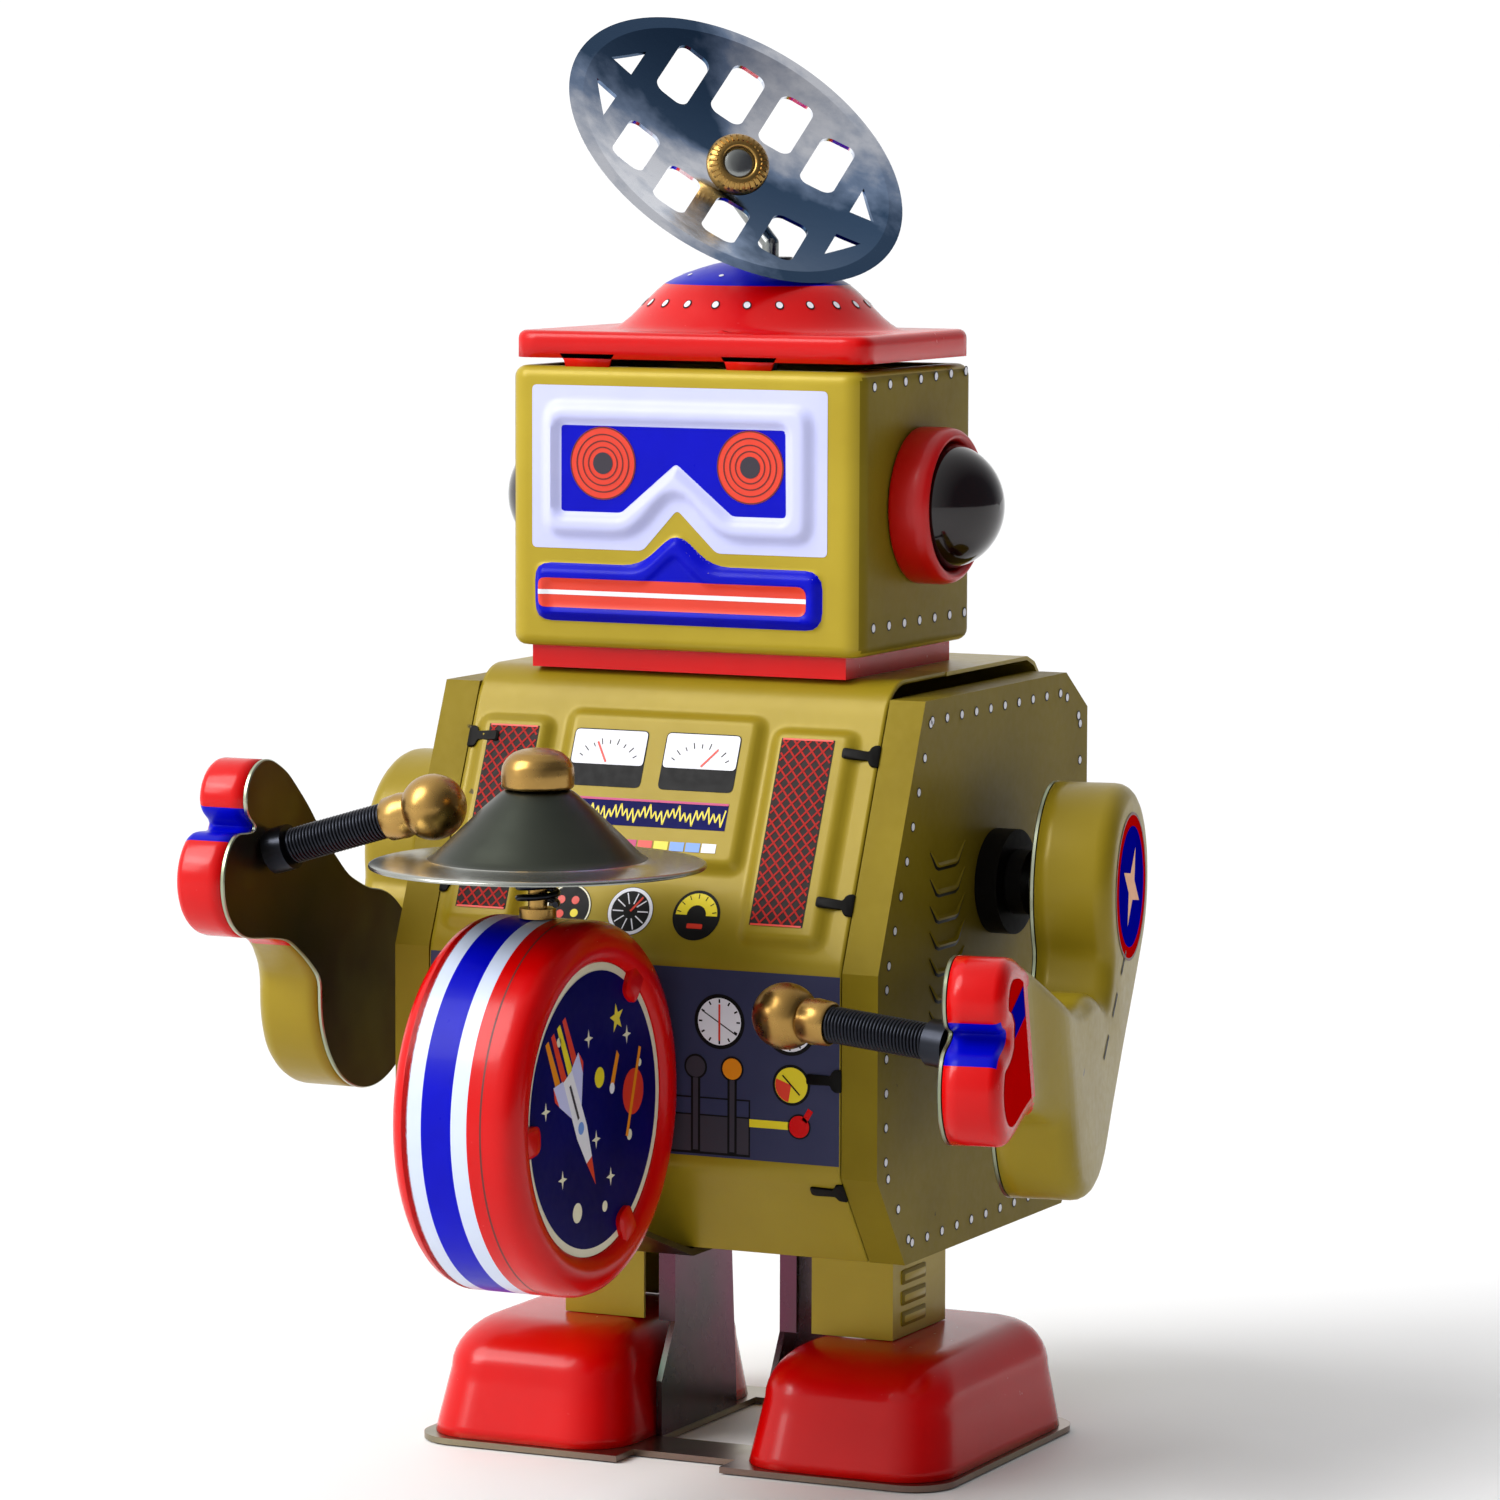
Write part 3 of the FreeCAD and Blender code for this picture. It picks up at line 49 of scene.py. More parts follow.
def place(x, y, z):
    return Vector((x / 1000, (y + ROBOT_Y) / 1000, z / 1000))


# ---- materials


def linear(rgb):
    return tuple((c / 255) ** 2.2 for c in rgb) + (1.0,)


def shader_node(tree, kind, values=None, operation=None):
    """A new node, with plain values for some of its sockets."""
    node = tree.nodes.new("ShaderNode" + kind)
    if operation:
        node.operation = operation
    for socket, value in (values or {}).items():
        node.inputs[socket].default_value = value
    return node


def noise(tree, where, scale, detail):
    node = shader_node(tree, "TexNoise", {"Scale": scale, "Detail": detail})
    tree.links.new(where, node.inputs["Vector"])
    return node.outputs["Fac"]


def colour_ramp(tree, factor, stops):
    """Colours along a factor, from (position, colour) stops of which the outer two come first."""
    ramp = tree.nodes.new("ShaderNodeValToRGB")
    points = ramp.color_ramp.elements
    for k, (position, colour) in enumerate(stops):
        if k > 1:
            points.new(position).color = colour
        else:
            points[k].position, points[k].color = position, colour
    tree.links.new(factor, ramp.inputs["Fac"])
    return ramp.outputs["Color"]


def finish(name, rgb, second=None, metallic=0.0, rough=0.3, coat=0.0, grain=900.0,
           bump=0.02, spread=0.25, wear=None, gloss_level=0.35, third=None):
    """A procedural finish: two tones mixed by cloudy noise, fine grain in gloss and height."""
    mat = bpy.data.materials.new(name)
    mat.use_nodes = True
    tree = mat.node_tree
    link = tree.links.new
    shader = tree.nodes["Principled BSDF"]
    for socket, value in (("Metallic", metallic), ("Specular IOR Level", gloss_level),
                          ("Coat Weight", coat), ("Coat Roughness", 0.06)):
        shader.inputs[socket].default_value = value
    where = shader_node(tree, "TexCoord").outputs["Object"]
    cloud, fine = noise(tree, where, grain / 12, 4.0), noise(tree, where, grain, 2.0)
    base = linear(rgb)
    brighter = tuple(min(1.0, c * 1.12) for c in base[:3]) + (1.0,)
    stops = [(0.5 - spread, base), (0.5 + spread, linear(second) if second else brighter)]
    if third:
        stops.append((0.5 + spread * 0.4, linear(third)))
    colour = colour_ramp(tree, cloud, stops)
    if wear:
        chips = noise(tree, where, 260.0, 6.0)
        mix = tree.nodes.new("ShaderNodeMix")
        mix.data_type = "RGBA"
        link(colour_ramp(tree, chips, [(0.735, (0, 0, 0, 1)), (0.75, (1, 1, 1, 1))]),
             mix.inputs["Factor"])
        link(colour, mix.inputs["A"])
        mix.inputs["B"].default_value = linear(wear)
        colour = mix.outputs["Result"]
    link(colour, shader.inputs["Base Color"])
    gloss = shader_node(tree, "MapRange", {"To Min": rough * 0.8, "To Max": rough * 1.25})
    link(fine, gloss.inputs["Value"])
    link(gloss.outputs["Result"], shader.inputs["Roughness"])
    height = shader_node(tree, "Bump", {"Strength": bump, "Distance": 0.0002})
    link(fine, height.inputs["Height"])
    link(height.outputs["Normal"], shader.inputs["Normal"])
    return mat


def glossy_ink(name, *tones):
    return finish(name, *tones, rough=0.35, coat=0.1)


OLIVE = finish("olive_gold_tin", (176, 154, 46), (164, 142, 38), metallic=0.1, rough=0.34,
               coat=0.06, gloss_level=0.2, wear=(84, 74, 40))
PANEL_OLIVE = finish("olive_panel_tin", (150, 130, 34), (140, 120, 28), metallic=0.1, rough=0.34,
                     coat=0.05, gloss_level=0.2, wear=(84, 74, 40))
# A darker, duller copy of the olive tin: painted shade for faces turned away from the light, on
# the head's sides, the side pans, the vents and the leg rungs.
OLIVE_PAINTED_SHADE = finish("olive_tin_painted_shade", (128, 111, 30), (116, 99, 24), metallic=0.1, rough=0.42,
                    coat=0.0, gloss_level=0.08, wear=(66, 58, 30))
RED = finish("red_tin", (208, 6, 8), (194, 4, 6), rough=0.24, coat=0.08, gloss_level=0.22,
             bump=0.008)
HAND_RED = finish("hand_red_ink", (198, 8, 10), (184, 6, 8), rough=0.6, gloss_level=0.0)
HAND_BLUE = finish("hand_blue_ink", (8, 14, 160), (5, 9, 136), rough=0.6, gloss_level=0.0)
WIRE_RED = finish("wire_red_ink", (178, 40, 34), (156, 32, 28), rough=0.45, gloss_level=0.08)
STRIPE = finish("stripe_ink", (208, 218, 238), (196, 208, 232), rough=0.32, coat=0.15)
LAVENDER = finish("lavender_ink", (200, 203, 242), (190, 194, 236), rough=0.32, coat=0.04,
                  gloss_level=0.2)
BLUE = finish("blue_ink", (8, 16, 190), (5, 10, 160), rough=0.3, coat=0.03, gloss_level=0.1)
NAVY = finish("navy_ink", (12, 14, 92), (8, 9, 70), rough=0.4, gloss_level=0.06)
EYE = glossy_ink("eye_ink", (222, 62, 38), (210, 52, 34))
BLACK = finish("black_ink", (16, 15, 15), rough=0.45, coat=0.0, gloss_level=0.15)
WHITE = glossy_ink("white_ink", (236, 236, 240), (226, 226, 234))
CREAM = glossy_ink("cream_ink", (222, 218, 190))
YELLOW = glossy_ink("yellow_ink", (226, 206, 36))
ORANGE = glossy_ink("orange_ink", (222, 132, 16))
MAGENTA = glossy_ink("magenta_ink", (180, 20, 96))
SKY = glossy_ink("sky_ink", (110, 150, 220))
SLATE = finish("slate_ink", (60, 62, 88), (52, 54, 80), rough=0.4, gloss_level=0.12)
GREY = finish("grey_ink", (58, 54, 62), rough=0.45, coat=0.05, gloss_level=0.2)
MAROON = finish("seam_brown", (92, 36, 32), rough=0.4)
MESH_DARK = finish("grille_ink", (44, 22, 20), (30, 16, 15), rough=0.45, gloss_level=0.15)
ZINC = finish("zinc_plate", (46, 56, 34), (128, 122, 84), metallic=1.0, rough=0.3, grain=260,
              spread=0.2, third=(96, 80, 70))
BASE_ZINC = finish("base_zinc", (150, 148, 118), (112, 128, 92), metallic=1.0, rough=0.3,
                   grain=260, spread=0.22, third=(128, 108, 100))
LEG_ZINC = finish("leg_zinc", (30, 68, 54), (136, 120, 62), metallic=1.0, rough=0.26, grain=300,
                  spread=0.2, third=(104, 54, 74))
STEEL = finish("bright_steel", (150, 152, 150), (120, 124, 122), metallic=1.0, rough=0.24)
EDGE = finish("cut_edge", (176, 180, 160), (130, 140, 110), metallic=1.0, rough=0.3)
CHROME = finish("dish_chrome", (168, 178, 192), (120, 136, 160), metallic=1.0, rough=0.16,
                grain=700, bump=0.05)
CYMBAL = finish("cymbal_steel", (72, 74, 66), (50, 56, 52), metallic=1.0, rough=0.34, grain=400)
BRIM = finish("cymbal_brim", (176, 176, 168), (140, 144, 138), metallic=1.0, rough=0.24)
BRASS = finish("brass", (180, 144, 84), (152, 118, 64), metallic=1.0, rough=0.28)
DARK = finish("dark_lens", (14, 5, 6), (26, 8, 10), rough=0.1, coat=0.4)
RED_PLASTIC = finish("red_plastic", (190, 8, 10), (176, 6, 8), rough=0.34, coat=0.1)
BLACK_TAB = finish("tab_black", (12, 11, 10), (20, 18, 15), rough=0.45, gloss_level=0.1,
                   wear=(110, 100, 82))
BLACK_STEEL = finish("black_steel", (52, 54, 60), (36, 38, 44), metallic=0.9, rough=0.3)

DISH_MIDDLE = (-4.86, 5.0, 167.23)


def paint_dish_reflection(mat):
    """Painted reflection: bright fans on either side of the hub over dark polished steel, painted
    into the base colour.
    """
    tree = mat.node_tree
    link = tree.links.new
    where = shader_node(tree, "TexCoord").outputs["Object"]
    shift = shader_node(tree, "VectorMath", {1: place(*DISH_MIDDLE)}, "SUBTRACT")
    apart = shader_node(tree, "SeparateXYZ")
    angle = shader_node(tree, "Math", operation="ARCTAN2")
    twice = shader_node(tree, "Math", {1: 2.0, 2: -2.8}, "MULTIPLY_ADD")
    fan = shader_node(tree, "Math", operation="COSINE")
    both = shader_node(tree, "Math", {1: 1.1}, "MULTIPLY_ADD")
    half = shader_node(tree, "Math", {1: 0.5, 2: 0.08}, "MULTIPLY_ADD")
    link(where, shift.inputs[0])
    link(shift.outputs["Vector"], apart.inputs["Vector"])
    link(apart.outputs["Y"], angle.inputs[0])
    link(apart.outputs["X"], angle.inputs[1])
    link(angle.outputs["Value"], twice.inputs[0])
    link(twice.outputs["Value"], fan.inputs[0])
    link(noise(tree, where, 320.0, 5.0), both.inputs[0])
    link(fan.outputs["Value"], both.inputs[2])
    link(both.outputs["Value"], half.inputs[0])
    # Dark steel, painted highlight and a middle tone between them: painted reflection.
    stops = [(0.2, linear((56, 80, 108))), (0.86, linear((238, 241, 248))),
             (0.5, linear((128, 148, 178)))]
    link(colour_ramp(tree, half.outputs["Value"], stops),
         tree.nodes["Principled BSDF"].inputs["Base Color"])


paint_dish_reflection(CHROME)

SLOT_FINISH = {
    "olive_tin": OLIVE, "red_tin": RED, "drum_tin": RED, "drum_print": NAVY, "zinc_plate": ZINC,
    "bright_steel": STEEL, "dish_chrome": CHROME, "brass": BRASS, "red_plastic": RED_PLASTIC,
    "dark_plastic": DARK, "black_steel": BLACK_STEEL,
}

# ---- helpers


def add_to_scene(name, data):
    obj = bpy.data.objects.new(name, data)
    bpy.context.scene.collection.objects.link(obj)
    return obj


def add_piece(name, bm, mats, body="robot", swaps=(), sharp=40, weld=True):
    """A finished mesh that rides on a body and may stand for CAD nodes."""
    if weld:
        bmesh.ops.remove_doubles(bm, verts=bm.verts, dist=2e-6)
        bmesh.ops.recalc_face_normals(bm, faces=bm.faces)
    limit = radians(sharp)
    for face in bm.faces:
        face.smooth = True
    for edge in bm.edges:
        if len(edge.link_faces) == 2 and edge.calc_face_angle(0) > limit:
            edge.smooth = False
    mesh = bpy.data.meshes.new(name)
    bm.to_mesh(mesh)
    bm.free()
    for mat in mats:
        mesh.materials.append(mat)
    obj = add_to_scene(name, mesh)
    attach(obj, body)
    if swaps:
        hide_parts(*swaps)
    return obj


def thicken(obj, mm):
    """Gives a sheet its thickness, inwards."""
    shell = obj.modifiers.new("sheet", "SOLIDIFY")
    shell.thickness = mm / 1000
    shell.offset = -1
    shell.use_even_offset = False


def loft(bm, rings, closed=True, mats=None, cap=False):
    """Quads between rings of points. mats gives a material index for each band of quads."""
    rows = [[bm.verts.new(p) for p in ring] for ring in rings]
    for k, (low, high) in enumerate(zip(rows, rows[1:])):
        for i in range(len(low) if closed else len(low) - 1):
            j = (i + 1) % len(low)
            face = bm.faces.new((low[i], low[j], high[j], high[i]))
            if mats:
                face.material_index = mats[k]
    if cap:
        bm.faces.new(rows[0][::-1])
        bm.faces.new(rows[-1])
    return rows


def arc(cx, cy, radius, start, stop, count):
    turn = radians(stop - start) / max(1, count - 1)
    first = radians(start)
    return [(cx + radius * cos(first + turn * k), cy + radius * sin(first + turn * k))
            for k in range(count)]


def circle(cx, cy, radius, count):
    return arc(cx, cy, radius, 0, 360 * (count - 1) / count, count)


def box(x0, y0, x1, y1):
    return [(x0, y0), (x1, y0), (x1, y1), (x0, y1)]


def bar(a, b, width):
    """A thin straight stroke from a to b."""
    (ax, ay), (bx, by) = a, b
    length = hypot(bx - ax, by - ay)
    nx, ny = -(by - ay) / length * width / 2, (bx - ax) / length * width / 2
    return [(ax + nx, ay + ny), (bx + nx, by + ny), (bx - nx, by - ny), (ax - nx, ay - ny)]


def star(cx, cy, reach, points=5, waist=0.4, turn=90):
    ring = []
    for k in range(2 * points):
        length = reach if k % 2 == 0 else reach * waist
        angle = radians(turn + 180 * k / points)
        ring.append((cx + length * cos(angle), cy + length * sin(angle)))
    return ring


def corner_curve(before, here, after, radius, count):
    """Points of a smooth curve that cuts a corner off."""
    p = Vector(here)
    back, on = Vector(before) - p, Vector(after) - p
    cut = min(radius, back.length * 0.45, on.length * 0.45)
    a, b = p + back.normalized() * cut, p + on.normalized() * cut
    return [tuple(a * (1 - t) ** 2 + p * 2 * t * (1 - t) + b * t ** 2)
            for t in (i / (count - 1) for i in range(count))]


def rounded(points, radius, count=5):
    """Rounds a polygon's corners."""
    out = []
    for k, here in enumerate(points):
        out += corner_curve(points[k - 1], here, points[(k + 1) % len(points)], radius, count)
    return out


def rounded_line(points, radius, count=5):
    """Rounds the inner corners of an open line."""
    out = [points[0]]
    for before, here, after in zip(points, points[1:], points[2:]):
        out += corner_curve(before, here, after, radius, count)
    return out + [points[-1]]


def inside_depth(poly, x, y):
    """Distance to a polygon's outline, positive inside."""
    best, within = 1e9, False
    for k, (bx, by) in enumerate(poly):
        ax, ay = poly[k - 1]
        dx, dy = bx - ax, by - ay
        t = max(0.0, min(1.0, ((x - ax) * dx + (y - ay) * dy) / (dx * dx + dy * dy)))
        best = min(best, hypot(x - ax - t * dx, y - ay - t * dy))
        if (ay > y) != (by > y) and x < (bx - ax) * (y - ay) / (by - ay) + ax:
            within = not within
    return best if within else -best


def ease(value, start, stop):
    t = max(0.0, min(1.0, (value - start) / (stop - start)))
    return t * t * (3 - 2 * t)


def slice_at(bm, point, normal):
    """New edges where a plane cuts the mesh."""
    bmesh.ops.bisect_plane(bm, geom=bm.verts[:] + bm.edges[:] + bm.faces[:], dist=1e-5,
                           plane_co=point, plane_no=normal)


class Print:
    """Ink printed on a surface: thin patches that follow it, each in its own colour."""

    def __init__(self, name, surface, body="robot"):
        self.name, self.surface, self.body = name, surface, body
        self.bm = bmesh.new()
        self.mats = []

    def ink(self, mat):
        if mat not in self.mats:
            self.mats.append(mat)
        return self.mats.index(mat)

    def patch(self, outline, mat, lift=0.04, step=None):
        """One flat-coloured shape. A step makes it follow a curved surface."""
        small = bmesh.new()
        small.faces.new([small.verts.new((u, v, 0)) for u, v in outline])
        for axis, normal in enumerate(((1, 0, 0), (0, 1, 0)) if step else ()):
            values = [p[axis] for p in outline]
            k = min(values) / step // 1 + 1
            while k * step < max(values):
                slice_at(small, Vector(normal) * (k * step), normal)
                k += 1
        index = self.ink(mat)
        made = {v: self.bm.verts.new(self.surface(v.co.x, v.co.y, lift)) for v in small.verts}
        for face in small.faces:
            self.bm.faces.new([made[v] for v in face.verts]).material_index = index
        small.free()

    def disc(self, u, v, radius, mat, lift=0.04, count=40):
        self.patch(circle(u, v, radius, count), mat, lift)

    def hoop(self, u, v, radius, width, mat, lift=0.05, count=40):
        lines = [circle(u, v, radius + grow, count) for grow in (width / 2, -width / 2)]
        loft(self.bm, [[self.surface(*p, lift) for p in line] for line in lines],
             mats=[self.ink(mat)])

    def ticks(self, u, v, reach, angles, width, mat, lift):
        """Straight marks round a dial, from one radius to the other."""
        for turn in (radians(a) for a in angles):
            ends = [(u + r * cos(turn), v + r * sin(turn)) for r in reach]
            self.patch(bar(*ends, width), mat, lift)

    def dot(self, u, v, radius):
        """A printed rivet: a pale spot in a dark ring."""
        self.disc(u, v, radius * 1.35, BLACK, 0.04, 12)
        self.disc(u, v, radius, WHITE, 0.07, 12)

    def done(self):
        self.bm.normal_update()
        add_piece(self.name, self.bm, self.mats, self.body, weld=False)


def keep_node(name, mat):
    """A CAD node that stays as it is: its finish, and softened edges."""
    obj = frame["nodes"][name]
    obj.data.materials.clear()
    obj.data.materials.append(mat)
    for face in obj.data.polygons:
        face.use_smooth = True
    obj.data.set_sharp_from_angle(angle=radians(32))
    soft = obj.modifiers.new("soft_edges", "BEVEL")
    soft.width = 0.00025
    soft.segments = 3
    soft.limit_method = "ANGLE"
    soft.angle_limit = radians(40)
    soft.harden_normals = False
    soft.use_clamp_overlap = True


def lathe(name, profile, at, turn, mats, body, swaps, bands=None, steps=64, smooth=0,
          sharp=35):
    """Turns a profile of (radius, height) about a Z axis, then turns and moves it into place."""
    if smooth:
        profile = rounded_line(profile, smooth)
    bm = bmesh.new()
    loft(bm, [[place_turned(at, turn, radius * cos(a), radius * sin(a), height)
               for a in whole_turn(steps)] for radius, height in profile], mats=bands)
    add_piece(name, bm, mats, body, swaps, sharp)


def whole_turn(steps):
    """Even angles round a circle, in radians."""
    return [2 * pi * k / steps for k in range(steps)]


def place_turned(at, turn, x, y, z):
    p = turn @ Vector((x, y, z))
    return place(at[0] + p.x, at[1] + p.y, at[2] + p.z)


# ---- CAD pieces

# The side pans take the olive with painted shade.
OWN_FINISH = {
    "leg_plate_left": LEG_ZINC, "leg_plate_right": LEG_ZINC, "base_plate": BASE_ZINC,
    "shoulder_bushes": BLACK_TAB, "winding_key": STEEL, "winding_arbor": STEEL,
    "body_side_left": OLIVE_PAINTED_SHADE, "body_side_right": OLIVE_PAINTED_SHADE,
}
for entry in frame["record"]["subparts"]:
    node = entry["node"]
    keep_node(node, OWN_FINISH.get(node, SLOT_FINISH[entry["material_slot"]]))

# ---- head

HEAD_X, HEAD_Y, HEAD_LOW, HEAD_TOP = 25.0, 18.05, 105.4, 141.6
VISOR = [(-21.5, 139.2), (20.4, 139.2), (20.4, 118.2), (4.9, 118.2), (-0.7, 123.6),
         (-5.6, 118.2), (-21.5, 118.2)]
RIDGE = [(-19.9, 137.4), (18.6, 137.4), (18.6, 119.5), (5.6, 119.5), (-0.7, 126.0),
         (-6.6, 119.5), (-19.9, 119.5)]
WINDOW = [(-17.2, 134.1), (14.6, 134.1), (14.7, 123.0), (7.2, 123.0), (-0.8, 129.5),
          (-8.6, 123.0), (-17.2, 123.0)]
MOUTH = [(-21.1, 116.3), (-6.0, 116.3), (-0.7, 120.9), (4.3, 116.5), (19.8, 116.4),
         (19.8, 108.8), (-21.0, 108.8)]
BAND = [(-20.3, 114.4), (17.8, 114.4), (17.8, 110.6), (-20.3, 110.6)]
MOUTH_LOW = [(-19.2, 114.0), (-5.0, 114.0), (-0.7, 117.9), (3.6, 114.0), (17.9, 114.0),
             (17.9, 110.6), (-19.2, 110.6)]
EYES, EYE_Z = (-11.2, 9.7), 129.3
PRESSED_RIDGE, PRESSED_WINDOW = rounded(RIDGE, 3.0), rounded(WINDOW, 0.8)
PRESSED_MOUTH, PRESSED_LOW = rounded(MOUTH, 1.6), rounded(MOUTH_LOW, 1.0)


def face_relief(x, z):
    """Height of the pressed visor and mouth over the flat of the face."""
    high = ease(inside_depth(PRESSED_RIDGE, x, z), -0.2, 1.5)
    high -= 0.9 * ease(inside_depth(PRESSED_WINDOW, x, z), -1.3, 0.05)
    mouth = 0.95 * ease(inside_depth(PRESSED_MOUTH, x, z), -0.1, 1.2)
    mouth -= 0.4 * ease(inside_depth(PRESSED_LOW, x, z), -0.6, 0.5)
    return max(high, 0.0) + max(mouth, 0.0)


def face_surface(x, z, lift):
    return place(x, -HEAD_Y - face_relief(x, z) - lift, z)


def head_walk():
    """Points round the head seen from above, with their outward direction."""
    corner, face_steps = 2.6, 110
    reach_x, reach_y = HEAD_X - corner, HEAD_Y - corner
    walk = [(-reach_x + 2 * reach_x * k / face_steps, -HEAD_Y, 0, -1) for k in range(face_steps)]
    for cx, cy, first in ((reach_x, -reach_y, -90), (reach_x, reach_y, 0),
                          (-reach_x, reach_y, 90), (-reach_x, -reach_y, 180)):
        for k in range(10):
            nx, ny = cos(radians(first + 10 * k)), sin(radians(first + 10 * k))
            walk.append((cx + corner * nx, cy + corner * ny, nx, ny))
    return walk[:-1]


def build_head():
    roll, steps = 1.5, 94
    low, high = HEAD_LOW + roll, HEAD_TOP - roll
    bend = [(roll * cos(radians(18 * k)), roll * sin(radians(18 * k))) for k in range(6)]
    rows = [(HEAD_LOW, roll + 1.2)]
    rows += [(low - c, roll - s) for c, s in bend]
    rows += [(low + (high - low) * k / steps, 0.0) for k in range(1, steps)]
    rows += [(high + s, roll - c) for c, s in bend]
    rows += [(HEAD_TOP, roll + 1.2)]
    walk = head_walk()
    rings = []
    for z, inset in rows:
        ring = []
        for x, y, nx, ny in walk:
            out = face_relief(x, z) if ny == -1 and inset == 0.0 else -inset
            ring.append(place(x + nx * out, y + ny * out, z))
        rings.append(ring)
    bm = bmesh.new()
    loft(bm, rings)
    bm.normal_update()
    # Faces that look sideways take the olive with painted shade.
    for face in bm.faces:
        face.material_index = int(abs(face.normal.x) > 0.8)
    head = add_piece("head", bm, [OLIVE, OLIVE_PAINTED_SHADE], swaps=["head_shell"],
                     sharp=60)
    thicken(head, 0.4)

    ink = Print("face_print", face_surface)
    ink.patch(rounded(VISOR, 0.7), LAVENDER, 0.05, 0.4)
    ink.patch(rounded(WINDOW, 0.5), BLUE, 0.10, 0.5)
    ink.patch(rounded(MOUTH, 2.4), BLUE, 0.05, 0.4)
    ink.patch(rounded(BAND, 1.2), EYE, 0.09, 0.5)
    ink.patch(box(-20.3, 112.25, 17.8, 112.85), WHITE, 0.12, 0.5)
    for x in EYES:
        ink.patch(circle(x, EYE_Z, 4.7, 48), EYE, 0.15, 1.1)
        for radius in (4.6, 3.7, 2.85, 2.05):
            ink.hoop(x, EYE_Z, radius, 0.16, MAROON, 0.2, 48)
        ink.disc(x, EYE_Z, 1.4, GREY, 0.2, 28)
    ink.done()

    for side, sign in SIDES:
        def side_surface(y, z, lift, sign=sign):
            return place(sign * (HEAD_X + lift), y, z)
        rivets = Print(f"head_rivets_{side}", side_surface)
        for z, rise in ((139.7, 0.16), (109.1, 0.0)):
            for k in range(7):
                rivets.dot(-14 + 29 / 6 * k, z + rise * k, 0.52)
        rivets.done()


LID_FLAT = 146.1
LID_DOME = [(0.0, 9.1), (0.1, 9.05), (0.2, 8.85), (0.3, 8.45), (0.4, 7.9), (0.5, 7.25),
            (0.58, 6.6), (0.65, 5.9), (0.71, 4.95), (0.77, 3.85), (0.83, 2.7), (0.89, 1.6),
            (0.94, 0.85), (0.98, 0.35), (1.02, 0.1), (1.06, 0.0)]


def dome_point(share, angle, height, lift=0.0):
    """A point of the oval dome, at a share of its half-widths from its middle."""
    return place(1.5 + (19 * share + 0.7 * lift) * cos(angle),
                 1.0 + (15.8 * share + 0.7 * lift) * sin(angle), LID_FLAT + height + lift)


def dome_surface(share, turns, lift):
    k = max(i for i, mark in enumerate(LID_DOME[:-1]) if mark[0] <= share)
    (near, high), (far, low) = LID_DOME[k:k + 2]
    t = (share - near) / (far - near)
    return dome_point(share, turns * 2 * pi, high * (1 - t) + low * t, lift)


def build_lid():
    """Flanged lid with an oval dome: rings that pass from the dome's top to the rim."""
    half_x, low_y, high_y = 25.0, -16.95, 17.05
    corner, roll, sheet = 2.2, 1.1, 0.45
    steps = 160
    outline = rounded_outline(half_x, low_y, high_y, corner, steps)
    rings = [[dome_point(share, a, height) for a in whole_turn(steps)]
             for share, height in LID_DOME]
    bands = [int(share < 0.65) for share, _ in LID_DOME]
    rim = [(roll + 0.6, 0.0), (roll, 0.0)]
    rim += [(roll - roll * sin(radians(18 * k)), roll - roll * cos(radians(18 * k)))
            for k in range(1, 6)]
    rim += [(0.0, 3.5)]
    for inset, drop in rim:
        rings.append([place(x - nx * inset, y - ny * inset, LID_FLAT - drop)
                      for x, y, nx, ny in outline])
        bands.append(0)
    bm = bmesh.new()
    loft(bm, rings, mats=bands)
    lid = add_piece("lid", bm, [RED, BLUE], swaps=["head_lid", "lid_dome"],
                    sharp=60)
    thicken(lid, sheet)

    bm = bmesh.new()
    shape = [(-3.9, 143.2), (3.9, 143.2), (3.3, 142.3), (3.0, 141.2), (-3.0, 141.2),
             (-3.3, 142.3)]
    for x in (-14.2, 8.8):
        for y in (low_y, high_y - sheet):
            loft(bm, [[place(x + u, y + depth, z) for u, z in shape] for depth in (sheet, 0.0)],
                 cap=True)
    add_piece("lid_tabs", bm, [RED], weld=False)

    rivets = Print("lid_rivets", dome_surface)

    def spot(share, turns, reach, swing, mat, lift):
        rivets.patch([(share + reach * cos(a), turns + swing * sin(a)) for a in whole_turn(12)],
                     mat, lift)

    for k in range(22):
        for grow, mat, lift in ((1.35, BLACK, 0.05), (1.0, WHITE, 0.09)):
            spot(0.79, (k + 0.5) / 22, 0.021 * grow, 0.0048 * grow, mat, lift)
    for k in range(10):
        spot(0.52, (k + 0.3) / 10, 0.017, 0.0056, WHITE, 0.07)
    rivets.done()


def rounded_outline(half_x, low_y, high_y, corner, steps):
    """A rounded rectangle as points at even angles, each with its outward direction."""
    mid_y, half_y = (low_y + high_y) / 2, (high_y - low_y) / 2
    points = []
    for k in range(steps):
        angle = 2 * pi * k / steps
        dx, dy = cos(angle), sin(angle)
        reach = min(half_x / abs(dx) if abs(dx) > 1e-6 else 1e9,
                    half_y / abs(dy) if abs(dy) > 1e-6 else 1e9)
        x, y = dx * reach, dy * reach
        cx = copysign(max(0.0, min(abs(x), half_x - corner)), x)
        cy = copysign(max(0.0, min(abs(y), half_y - corner)), y)
        if abs(x) > half_x - corner and abs(y) > half_y - corner:
            nx, ny = x - cx, y - cy
            size = hypot(nx, ny)
            nx, ny = nx / size, ny / size
            x, y = cx + nx * corner, cy + ny * corner
        elif abs(x) > half_x - 1e-6:
            nx, ny = copysign(1, x), 0
        else:
            nx, ny = 0, copysign(1, y)
        points.append((x, y + mid_y, nx, ny))
    return points


build_head()
build_lid()

# ---- body

